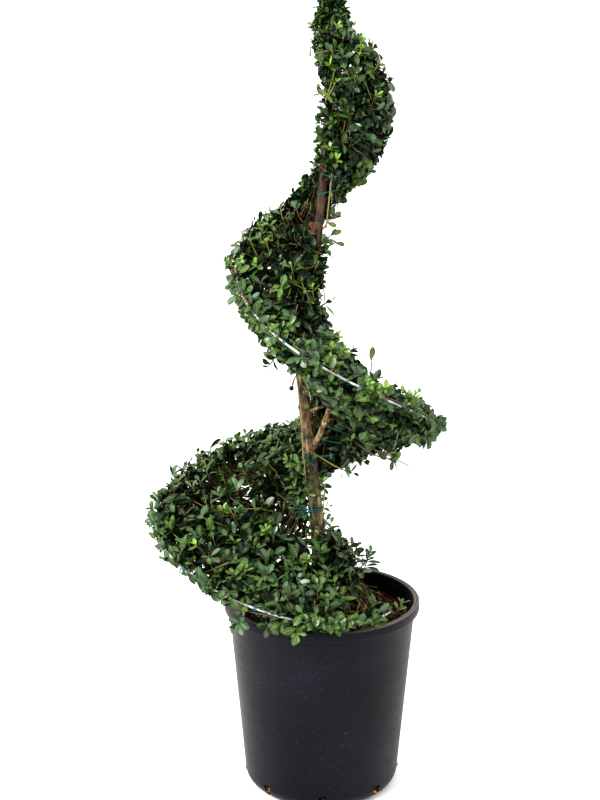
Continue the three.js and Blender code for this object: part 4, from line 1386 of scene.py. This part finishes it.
# %% [markdown]
# Privet sets its leaves in crossed pairs, small at the shoot's tip and larger and more spread lower down. The
# leaves of new growth are small. Leaves well below the face take a dull, dark tone, painted shade for the
# little light there. A leaf is left out where it would reach past the clipped space or into the trunk, the
# pot or the soil.

# %% Leaves on shoots
OLD, BLUE, MID, FRESH, YOUNG, PAINTED_SHADE, DRY = range(7)
LEAF_LENGTH = (17, 26.5)
KIND_SIZE = {FRESH: 0.88, YOUNG: 0.68}
PAIRS_APART = (3.4, 7)
LEAN_DEGREES = {"at_tip": 44, "each_pair": 11}
LEAF_MISSING = 0.05
SHADE_BELOW = 11
SHADE_SHARE = 0.75


def leaf_pairs(shoots, random, span=None):
    """Crossed pairs of leaves along many shoots, small at the tip, with a kind for each leaf."""
    foot, bend, tip, kind = (shoots[key] for key in ("foot", "bend", "tip", "kind"))
    count = len(tip)
    scale = shoots["scale"] * np.select([kind == each for each in KIND_SIZE], KIND_SIZE.values(), 1.0)
    axis = unit(tip - foot)
    length = np.linalg.norm(tip - foot, axis=-1)
    control = 2 * bend - (foot + tip) / 2
    helper = unit(np.cross(axis, np.array([0.31, 0.52, 0.79])))
    other = np.cross(axis, helper)
    spin = random.uniform(0, 2 * math.pi, count)
    found = {"root": [], "direction": [], "upper": [], "length": [], "kind": []}
    for pair in range(int(shoots["pairs"].max())):
        step = (1 + pair * random.uniform(*PAIRS_APART, count)) * scale
        share = np.clip(1 - step / length, 0, 1)[:, None]
        root = (1 - share) ** 2 * foot + 2 * share * (1 - share) * control + share**2 * tip
        crossed = (spin + pair * math.pi / 2 + random.normal(0, 0.25, count))[:, None]
        sideways = helper * np.cos(crossed) + other * np.sin(crossed)
        for sign in (1, -1):
            lean = np.radians(LEAN_DEGREES["at_tip"] + LEAN_DEGREES["each_pair"] * pair)
            lean = np.minimum(lean + random.normal(0, 0.18, count), 1.5)[:, None]
            direction = axis * np.cos(lean) + sign * sideways * np.sin(lean)
            direction = unit(direction + UP * random.uniform(-0.14, 0.18, count)[:, None])
            upper = axis * np.sin(lean) - sign * sideways * np.cos(lean) + 0.55 * UP
            upper = upper + random.normal(0, 0.2, (count, 3))
            upper = unit(upper - direction * np.sum(upper * direction, -1, keepdims=True))
            size = random.uniform(*LEAF_LENGTH, count) * scale * (0.58 + 0.42 * min(pair / 2, 1))
            leaf_kind = kind.copy()
            if pair >= 2:
                leaf_kind[kind == YOUNG] = FRESH
                leaf_kind[kind == FRESH] = MID
            end = root + direction * size[:, None]
            kept = (shoots["pairs"] > pair) & (step < length) & (random.random(count) > LEAF_MISSING)
            kept &= ~blocked(end) & ~blocked((root + end) / 2)
            if span:
                kept &= past_face(end, *span) < shoots["slack"]
                # Leaves well inside the ribbon mostly take the dark, dull tone, which is painted shade.
                inner = past_face((root + end) / 2, *span) < -SHADE_BELOW
                leaf_kind[inner & (leaf_kind < FRESH) & (random.random(count) < SHADE_SHARE)] = PAINTED_SHADE
            values = {"root": root, "direction": direction, "upper": upper, "length": size, "kind": leaf_kind}
            for name in found:
                found[name].append(values[name][kept])
    return {name: np.concatenate(values) for name, values in found.items()}


print("full-grown leaves:", *LEAF_LENGTH, "mm long")

# %% [markdown]
# Each shoot gets its colour by chance and by place. Most are the dark green of old leaves. New growth stands
# in patches on the upper side, where the light reaches it.

# %% Kinds of shoots
THROW_BELOW = {"young": 0.002, "fresh": 0.06, "blue": 0.4, "mid": 0.64}  # the rest are old
MORE_IN_PATCH = {"young": 0.1, "fresh": 0.24}
PATCH_ABOVE = {"young": 0.38, "fresh": 0.22}
NEW_PATCH_SIZE = 34


def shoot_kinds(place, outward, random):
    """The kind of leaves that each shoot carries."""
    throw = random.random(len(place))
    exposed = np.clip(outward[:, 2], 0, 1)
    patch = noise_at(place, NEW_PATCH_SIZE, 0.0)
    kind = np.select([throw < THROW_BELOW["blue"], throw < THROW_BELOW["mid"]], [BLUE, MID], OLD)
    for name, new_kind in (("fresh", FRESH), ("young", YOUNG)):
        in_patch = MORE_IN_PATCH[name] * (patch > PATCH_ABOVE[name]) * exposed
        kind[throw < THROW_BELOW[name] + in_patch] = new_kind
    return kind


trial_kinds = shoot_kinds(trial_spots[:, 2:5], trial_spots[:, 5:8], trial)
print("new growth on the same part of the left:", int((trial_kinds >= FRESH).sum()))

# %% [markdown]
# A twig forks from between the hidden boughs, runs towards the face and ends in its leafy shoot. Some shoots
# are long and lie along the face. A twig that would touch the trunk, the pot or the soil is left out, and so
# is one that would leave the clipped space. A few twigs end in a pale cut that the shears left.

# %% Growing a mass
LONG_SHARE = 0.16
SHOOT_WAY = {"outward": 0.95, "sideways": 0.15, "up": 0.42, "chance": 0.28}  # parts of its direction
SHOOT_LENGTH = (24, 40)
CUT_SHARE = 0.14


def forks_inside(spots, random):
    """Where each shoot's twig forks off among the hidden boughs, in the middle of the ribbon."""
    turn, distance = spots[:, 0], spots[:, 1]
    inward = np.clip(distance * random.uniform(0.62, 0.85, len(spots)), 6, None)
    upper, lower = faces_at(turn, inward)
    middle = (upper + lower) / 2 + random.normal(0, 4, len(spots))
    return ribbon_point(turn - random.uniform(0.0, 0.02, len(spots)), inward, middle)


def grow(spots, fork, proud, kind, random, span=None):
    """Grows the shoots of one mass: twigs as lines with a kind, a scale and a cut end, and the leaves."""
    count = len(spots)
    place, outward, scale = spots[:, 2:5], spots[:, 5:8], spots[:, 8]
    sideways = radial(spots[:, 0])
    long_shoot = (random.random(count) < LONG_SHARE) & (proud < 0) & (kind != YOUNG) & (span is not None)
    axis = outward * SHOOT_WAY["outward"] + sideways * SHOOT_WAY["sideways"] + UP * SHOOT_WAY["up"]
    axis = unit(axis + random.normal(0, SHOOT_WAY["chance"], (count, 3)))
    along_face = unit(sideways + 0.5 * UP + 0.7 * random.normal(0, 1, (count, 3)))
    along_face = unit(along_face - outward * np.sum(along_face * outward, -1, keepdims=True))
    axis[long_shoot] = unit(along_face + 0.3 * outward)[long_shoot]
    length = random.uniform(*SHOOT_LENGTH, count) * scale * np.where(long_shoot, 1.5, 1)
    tip = place + outward * proud[:, None]
    foot = tip - axis * length[:, None]
    fork = np.where(long_shoot[:, None], foot - outward * 14, fork)
    foot = foot + (fork - foot) * random.uniform(0.0, 0.25, count)[:, None]
    bend = (foot + tip) / 2 + random.normal(0, 1.6, (count, 3))
    shoots = {
        "foot": foot, "bend": bend, "tip": tip, "scale": scale, "kind": kind,
        "pairs": np.where(long_shoot, 6, random.integers(3, 6, count)),
        "slack": np.where(proud > 0, proud + 8, random.uniform(-3, 6, count)),
    }
    lines = np.stack([fork, (fork + foot) / 2 + random.normal(0, 1.5, (count, 3)), foot, bend, tip], axis=1)
    clear = ~blocked(lines[:, 1]) & ~blocked(lines[:, 2]) & ~blocked(lines[:, 4])
    if span:
        clear &= np.max([past_face(lines[:, step], *span) for step in (1, 2, 3)], axis=0) < 2
    cut_end = random.random(count) < CUT_SHARE
    twigs = {"line": lines[clear], "kind": kind[clear], "scale": scale[clear], "cut": cut_end[clear]}
    return twigs, leaf_pairs(shoots, random, span)


trial_forks = forks_inside(trial_spots, trial)
print("furthest fork on the left:", round(float(polar(trial_forks)[0].max())), "mm from the trunk")

# %% [markdown]
# The shears missed some shoots altogether. They stand well clear of the ribbon: beside the trunk, over the
# edge of the pot, on the soil and at the ends of the turns. Each is read from the photograph and springs from
# the nearest bough or trunk behind it, or from the mix below it.

# %% Stray shoots
STRAYS = [  # root, tip, pairs of leaves and kind
    ((-3, -8, 842), (12, -12, 856), 3, OLD), ((-3, -6, 862), (14, -8, 884), 3, OLD),
    ((-2, -6, 832), (19, -8, 845), 0, OLD), ((7, -20, 377), (13, -20, 423), 5, BLUE),
    ((21, -30, 374), (28, -30, 402), 4, MID), ((42, -20, 361), (53, -20, 388), 4, OLD),
    ((61, -10, 351), (74, -10, 373), 4, BLUE), ((30, -26, 368), (44, -34, 392), 4, OLD),
    ((67, -60, 645), (70, -61, 684), 0, MID), ((79, -22, 536), (129, -34, 515), 0, OLD),
    ((65, -22, 536), (103, -34, 526), 3, MID), ((18, -50, 520), (46, -50, 509), 4, OLD),
    ((-122, -10, 809), (-141, -10, 815), 3, FRESH), ((-112, -100, 312), (-128, -132, 302), 4, BLUE),
    ((-44, -140, 318), (-37, -172, 303), 4, FRESH), ((-22, -146, 328), (-12, -170, 322), 4, MID),
    ((8, -146, 320), (15, -168, 313), 4, MID), ((-66, -138, 325), (-58, -166, 320), 4, MID),
    ((-84, -136, 322), (-77, -160, 311), 3, OLD), ((3, -20, 1050), (-8, -20, 1058), 3, OLD),
    ((123, -60, 618), (137, -60, 634), 4, YOUNG), ((112, -66, 622), (118, -70, 640), 4, YOUNG),
    ((31, -70, 688), (43, -70, 700), 3, FRESH), ((59, -10, 1109), (70, -10, 1118), 3, MID),
    ((-2, -30, 755), (12, -30, 761), 3, MID), ((-68, -70, 688), (-79, -70, 675), 4, OLD),
    ((-38, -40, 662), (-44, -58, 643), 0, OLD), ((71, -60, 280), (80, -60, 312), 5, BLUE),
    ((108, -48, 276), (114, -50, 298), 3, MID), ((115, -30, 276), (122, -34, 300), 3, MID),
    ((54, -110, 280), (62, -114, 304), 4, BLUE), ((42, -14, 346), (55, -15, 368), 4, OLD),
    ((58, -12, 340), (69, -14, 362), 4, BLUE),
    ((-30, -95, 690), (-42, -104, 678), 3, OLD), ((-34, -10, 506), (-14, -28, 487), 4, BLUE),
    ((-32, -8, 584), (-10, -24, 574), 3, OLD), ((-36, -10, 478), (-20, -26, 470), 3, MID),
]

# Places on boughs all along the ribbon and on the trunk, from which stray shoots can spring.
carriers = [bough_line(turn) for turn in np.arange(-0.28, 2.68, 0.02)]
carriers = np.concatenate(carriers + [trunk_at(np.arange(SOIL_TOP + 20, TRUNK["top"] - 10, 10.0))])


def sprung_from(root, tip):
    """What a stray shoot springs from: the mix below it, or else the nearest bough or trunk behind it."""
    if root[2] < SOIL_TOP + 16:
        return np.array([root[0], root[1], SOIL_TOP - 8])
    behind = root - 0.7 * (tip - root)
    return carriers[np.argmin(np.linalg.norm(carriers - behind, axis=-1))]


def stray_shoots(random):
    """Twigs and leaves of the stray shoots."""
    root, tip = (np.array([row[side] for row in STRAYS], float) for side in (0, 1))
    pairs, kind = (np.array([row[column] for row in STRAYS]) for column in (2, 3))
    count = len(STRAYS)
    bend = (root + tip) / 2 + random.normal(0, 1.5, (count, 3))
    inner = np.array([sprung_from(*ends) for ends in zip(root, tip)])
    scale = np.full(count, 0.98)
    shoots = {"foot": root, "bend": bend, "tip": tip, "scale": scale, "kind": kind, "pairs": pairs}
    lines = np.stack([inner, root, (root + bend) / 2 + random.normal(0, 0.6, (count, 3)), bend, tip], axis=1)
    twigs = {"line": lines, "kind": kind, "scale": np.full(count, 1.1), "cut": np.zeros(count, bool)}
    return twigs, leaf_pairs(shoots, random)


print("stray shoots:", len(STRAYS), "on", len(carriers), "places of boughs and trunk")

# %% [markdown]
# A few broad leaves stand alone on bare twigs, lie dead on the soil or hang dead in the foliage. Each has a
# root and a tip, and turns its upper side to the front.

# %% Lone leaves
LONE_LEAVES = [  # root, tip and kind
    ((12, -12, 856), (26, -16, 863), OLD), ((14, -8, 884), (26, -11, 888), OLD),
    ((6, -7, 873), (19, -11, 869), MID), ((5, -11, 850), (14, -15, 842), OLD),
    ((19, -8, 845), (31, -11, 841), OLD), ((2, -13, 836), (12, -14, 828), OLD),
    ((68, -60, 681), (72, -62, 701), MID), ((75, -58, 650), (82, -62, 668), OLD),
    ((166, -20, 571), (184, -22, 580), BLUE), ((163, -24, 566), (167, -26, 550), OLD),
    ((109, -34, 524), (114, -37, 539), MID), ((81, -24, 534), (95, -26, 524), OLD),
    ((103, -33, 525), (101, -35, 509), OLD), ((-12, -14, 862), (-18, -22, 876), DRY),
    ((-10, -14, 858), (-22, -21, 863), DRY), ((-11, -14, 864), (-11, -22, 877), DRY),
    ((100, -30, 272), (115, -36, 274), DRY), ((84, -50, 272), (96, -58, 273), DRY),
    ((62, -88, 272), (76, -90, 274), DRY), ((112, 24, 272), (120, 38, 273), DRY),
    ((40, -116, 272), (52, -122, 273), DRY),
]
FACING_OUT = np.array([0.3, -0.9, 0.2])


def lone_leaves():
    """The lone leaves, as leaf_pairs gives them."""
    root, tip = (np.array([row[side] for row in LONE_LEAVES], float) for side in (0, 1))
    direction = unit(tip - root)
    upper = unit(FACING_OUT - direction * np.sum(FACING_OUT * direction, -1, keepdims=True))
    kind = np.array([row[2] for row in LONE_LEAVES])
    length = np.linalg.norm(tip - root, axis=-1)
    return {"root": root, "direction": direction, "upper": upper, "length": length, "kind": kind}


print("lone leaves:", len(LONE_LEAVES))

# %% [markdown]
# Privet leaves are leathery and waxed. Old ones are a deep, slightly blue green, and new ones a bright yellow
# green. The wax gives a broad, cool shine. The paler midrib comes from the leaf's own map, which runs across
# and along each leaf, and a soft change of tone from leaf to leaf is noise over the whole plant.

# %% Leaf materials
TONE_MM = 10.526  # the tone changes over this length, so that neighbouring leaves differ
LEAF_TONES = {  # name, blade, midrib, roughness
    OLD: ("old", "#384d2a", "#647848", 0.36),
    BLUE: ("blue", "#3f583a", "#6c8657", 0.34),
    MID: ("mid", "#48602d", "#788f4a", 0.37),
    FRESH: ("fresh", "#506c2f", "#7d984c", 0.4),
    YOUNG: ("young", "#6c8d3c", "#93ab5d", 0.42),
    # The deep tone is painted shade for leaves well inside the ribbon.
    PAINTED_SHADE: ("deep", "#1a2a16", "#2a3b21", 0.5),
    DRY: ("dry", "#5f4329", "#755638", 0.7),
}


def leaf_material(name, blade, rib, roughness):
    """A waxy leaf with a paler midrib and a tone that varies over the plant."""
    material, tree, shader = new_material(f"waxy_privet_leaf_{name}", blade, roughness, IOR=1.46)
    uv = add_node(tree, "ShaderNodeUVMap", {"uv_map": "UVMap"})
    split = add_node(tree, "ShaderNodeSeparateXYZ", Vector=uv.outputs[0])
    from_rib = add_node(tree, "ShaderNodeMath", {"operation": "SUBTRACT", 1: 0.5}, _0=split.outputs["X"])
    beside = add_node(tree, "ShaderNodeMath", {"operation": "ABSOLUTE"}, _0=from_rib.outputs[0])
    on_rib = add_node(
        tree, "ShaderNodeMapRange", {"From Min": 0.02, "From Max": 0.09, "To Min": 0.75, "To Max": 0.0},
        Value=beside.outputs[0],
    )
    place = add_node(tree, "ShaderNodeTexCoord").outputs["Object"]
    mottle = add_node(tree, "ShaderNodeTexNoise", {"Scale": 1000 / TONE_MM, "Detail": 2.0}, Vector=place)
    tone = add_node(
        tree, "ShaderNodeMapRange", {"From Min": 0.3, "From Max": 0.7, "To Min": 0.64, "To Max": 1.36},
        Value=mottle.outputs["Fac"],
    )
    varied = add_node(tree, "ShaderNodeHueSaturation", {"Color": linear(blade)}, Value=tone.outputs[0])
    ribbed = add_node(
        tree, "ShaderNodeMix", {"data_type": "RGBA", 7: linear(rib)},
        _0=on_rib.outputs[0], _6=varied.outputs["Color"],
    )
    tree.links.new(ribbed.outputs[2], shader.inputs["Base Color"])
    return material


leaf_materials = {kind: leaf_material(*tone) for kind, tone in LEAF_TONES.items()}
print("leaf materials:", len(leaf_materials))

# %% [markdown]
# The bark of the shoots is olive when it is young and tan later, and a fresh cut is pale. The berries have a
# dark, glossy skin. All of them are so thin or small that an even colour does.

# %% Shoot and berry materials
twig_brown = new_material("tan_twig_bark", "#5f4c36", 0.75)[0]
twig_green = new_material("olive_shoot_bark", "#716d36", 0.6)[0]
twig_cut = new_material("clipped_shoot_end", "#b38a5c", 0.8)[0]
berry_skin = new_material("black_berry_skin", "#0b0b10", 0.3, IOR=1.45)[0]
print("shoot and berry materials:", twig_brown.name, twig_green.name, twig_cut.name, berry_skin.name)

# %% [markdown]
# Thousands of leaves as objects of their own would be slow, so the leaves of one kind are joined to one mesh
# for each section of the plant. The twigs are joined too, tan ones and olive ones apart, and the cut ends are
# short pale caps.

# %% Pieces of the foliage
TWIG_RADII = [1.2, 1.05, 0.9, 0.8, 0.62]  # from the fork to the tip
CUT_RADIUS = 0.9
OLIVE_SHARE = 0.4


def joined(parts):
    """One set of arrays from the arrays of several parts."""
    return {key: np.concatenate([part[key] for part in parts]) for key in parts[0]}


def add_leaves(leaves, section, names):
    """One piece for each kind of leaf."""
    for kind, (label, *_) in LEAF_TONES.items():
        chosen = {key: values[leaves["kind"] == kind] for key, values in leaves.items()}
        count = len(chosen["length"])
        if not count:
            continue
        points = leaf_points(chosen, random).reshape(-1, 3)
        shift = (np.arange(count) * LEAF_POINTS)[:, None, None]
        quads = (LEAF_QUADS[None] + shift).reshape(-1, 4)
        threes = (LEAF_THREES[None] + shift).reshape(-1, 3)
        piece = piece_from_arrays(
            points, quads, threes, f"leaves_{label}_{section}", leaf_materials[kind], names,
            uv=np.tile(LEAF_UV, (count, 1)),
        )
        sharpen_midribs(piece.data)
        print(section, label, count, "leaves")


def add_twigs(twigs, section, names):
    """Tan and olive twigs, and the pale cut ends that the shears left."""
    chance = random.random(len(twigs["kind"])) < OLIVE_SHARE
    green = (twigs["kind"] == FRESH) | (twigs["kind"] == YOUNG) | chance
    for label, chosen, material in (("brown", ~green, twig_brown), ("green", green, twig_green)):
        radii = np.array(TWIG_RADII)[None] * (0.75 + 0.35 * twigs["scale"][chosen])[:, None]
        points, quads, threes = tube_arrays(twigs["line"][chosen], radii, 4)
        piece_from_arrays(points, quads, threes, f"twigs_{label}_{section}", material, names)
    ends = twigs["line"][twigs["cut"]]
    if len(ends):
        back = ends[:, 4] + (ends[:, 3] - ends[:, 4]) * 0.1
        caps = np.stack([back, ends[:, 4] + (ends[:, 4] - ends[:, 3]) * 0.04], 1)
        points, quads, threes = tube_arrays(caps, np.full((len(caps), 2), CUT_RADIUS), 5)
        piece_from_arrays(points, quads, threes, f"clipped_ends_{section}", twig_cut, names)


print("twigs at their forks:", 2 * TWIG_RADII[0], "mm across")

# %% [markdown]
# ## Growing the whole plant
# A mass is grown from its spots, and the shoots over the rod are grown with it. Those carry no new growth, so
# fresh and young ones turn old and blue. Single berries are picked from among the shoots.

# %% One mass
BERRY_SHARE = 0.006
OVER_ROD_PROUD = (1, 6)
random = np.random.default_rng(2024)
berry_places = [np.array([[-135, -14, 783], [-46, -60, 640], [-134, -20, 796]], float)]


def grown_mass(first, last):
    """The twigs and the leaves of the mass between two turns."""
    spots = thinned(face_spots(first, last, random))
    over_rod = rod_spots(first, last, random)
    proud = proud_of_face(spots, random)
    proud = np.concatenate([proud, random.uniform(*OVER_ROD_PROUD, len(over_rod))])
    spots = np.concatenate([spots, over_rod])
    kind = shoot_kinds(spots[:, 2:5], spots[:, 5:8], random)
    kind[len(kind) - len(over_rod):] %= FRESH
    grown = grow(spots, forks_inside(spots, random), proud, kind, random, (first, last))
    picked = spots[random.random(len(spots)) < BERRY_SHARE]
    berry_places.append(picked[:, 2:5] + picked[:, 5:8] * random.uniform(-4, 4, (len(picked), 1)))
    return grown


def grown_plume():
    """The twigs and the leaves of the plume above the trunk's tip."""
    spots = plume_spots(random)
    trunk_tip = trunk_at(TRUNK["top"])
    forks = trunk_tip + (spots[:, 2:5] - trunk_tip) * [0.15, 0.15, 0.8]
    kind = shoot_kinds(spots[:, 2:5], spots[:, 5:8], random)
    return grow(spots, forks, random.uniform(-12, -3, len(spots)), kind, random)


print("berries placed one by one:", len(berry_places[0]))

# %% [markdown]
# Each section of the plant is grown mass by mass, with its hidden boughs, and its leaves are then joined by
# kind. The pieces of a section stand for all of its masses in the CAD.

# %% Foliage
for section, masses in MASSES.items():
    names = [name for name, _, _ in masses]
    grown = [grown_mass(first, last) for _, first, last in masses]
    if section == "high":
        grown.append(grown_plume())
        names.append("foliage_tip")
    twigs, leaves = zip(*grown)
    turns = [np.arange(first + 0.03, last, HIDDEN_BOUGH["every"]) for _, first, last in masses]
    boughs = np.stack([bough_line(turn) for turn in np.concatenate(turns)])
    thickness = float(np.clip(ribbon_at(masses[0][1])[0] / 170, 0.6, 1.1))
    radii = np.linspace(HIDDEN_BOUGH["root_radius"], HIDDEN_BOUGH["end_radius"], HIDDEN_BOUGH["points"])
    radii = np.repeat(radii[None] * thickness, len(boughs), 0)
    points, quads, threes = tube_arrays(boughs, radii, 6)
    piece_from_arrays(points, quads, threes, f"boughs_{section}", bark, names)
    add_twigs(joined(twigs), section, names)
    add_leaves(joined(leaves), section, names)

# %% [markdown]
# Last come the shoots that don't belong to one mass: those close round the trunk, the new rosettes, the
# strays and the lone leaves.

# %% Single shoots
spots = trunk_spots(random)
kind = shoot_kinds(spots[:, 2:5], spots[:, 5:8], random)
round_trunk = grow(spots, trunk_at(spots[:, 4] - 12), random.uniform(-3, 4, len(spots)), kind, random)
spots = spots_seen(YOUNG_SEEN_PX, 0.95)
kind = np.full(len(spots), YOUNG)
rosettes = grow(spots, forks_inside(spots, random), random.uniform(3, 7, len(spots)), kind, random)
strays = stray_shoots(random)
add_twigs(joined([round_trunk[0], rosettes[0], strays[0]]), "stray", None)
add_leaves(joined([round_trunk[1], rosettes[1], strays[1], lone_leaves()]), "stray", None)

# %% [markdown]
# Long shoots are tied along the rod, swaying a little beside it, and thin pale stems lie against the trunk.
# They are swept like the rod.

# %% Long shoots and stems
TIED_RADIUS, STEM_RADIUS = 0.9, 1.1
TIED_SHOOTS = [  # first and last turn, and millimetres outward and up from the rod
    (0.3, 0.36, 1, -5), (0.37, 0.43, -3, 4), (0.44, 0.5, 3, -3), (1.1, 1.15, 1, 4), (1.2, 1.27, -2, 4),
    (1.28, 1.33, 2, -4), (1.36, 1.43, 1, 4),
]
TRUNK_STEMS = [  # places that the stems pass
    ((-40, -6, 655), (-31, -14, 590), (-29, -15, 520)), ((-31, -13, 560), (-24, -17, 480), (-12, -18, 425)),
    ((13, -8, 952), (9, -12, 915), (4, -11, 866)),
    ((4, -20, 486), (2, -20, 450), (-2, -22, 420)),
]
shoot_routes = []
for first, last, out, up in TIED_SHOOTS:
    inside = (rod_turns > first) & (rod_turns < last)
    beside = radial(rod_turns[inside]) * out + UP * up
    swaying = 2.5 * np.sin(np.linspace(0.5, 8, inside.sum()))[:, None]
    shoot_routes.append(rod[inside][::3] + (beside + UP * swaying)[::3])
swept_piece(shoot_routes, TIED_RADIUS, 6, "tied_shoots", twig_brown, None)
stems = []
for start, middle, end in TRUNK_STEMS:
    stems.append(np.concatenate([bent_route(start, middle, 0), bent_route(middle, end, 0)[1:]]))
pale_stem = new_material("pale_stem_bark", "#7b7050", 0.8)[0]
swept_piece(stems, STEM_RADIUS, 6, "trunk_stems", pale_stem, None)

# %% [markdown]
# ## Berries
# A few shoots carry black berries, 6 to 8 mm across, on short stalks. Most of those that show are in the
# upper half. A berry is so small that a plain round ball does for it.

# %% Berries
BERRY_RADIUS = 3.7
STALK_RADIUS = 0.5
STALK_IN, STALK_UP = [0.93, 0.93, 1], 12  # each stalk leads towards the trunk and up
seen = spots_seen(BERRY_SEEN_PX, 1)
berry_places.append(seen[:, 2:5] + seen[:, 5:8] * 7)
berry_places = np.concatenate(berry_places)
bm = bmesh.new()
for place in berry_places:
    radius = BERRY_RADIUS * random.uniform(0.85, 1.1)
    made = bmesh.ops.create_icosphere(bm, subdivisions=2, radius=radius)["verts"]
    bmesh.ops.translate(bm, vec=tuple(place), verts=made)
piece_from_bmesh(bm, "berries", berry_skin, None)
inner_ends = berry_places * STALK_IN + UP * STALK_UP
stalks = [bent_route(place, end, -2) for place, end in zip(berry_places, inner_ends)]
swept_piece(stalks, STALK_RADIUS, 4, "berry_stalks", twig_green, None)
print("berries:", len(berry_places))
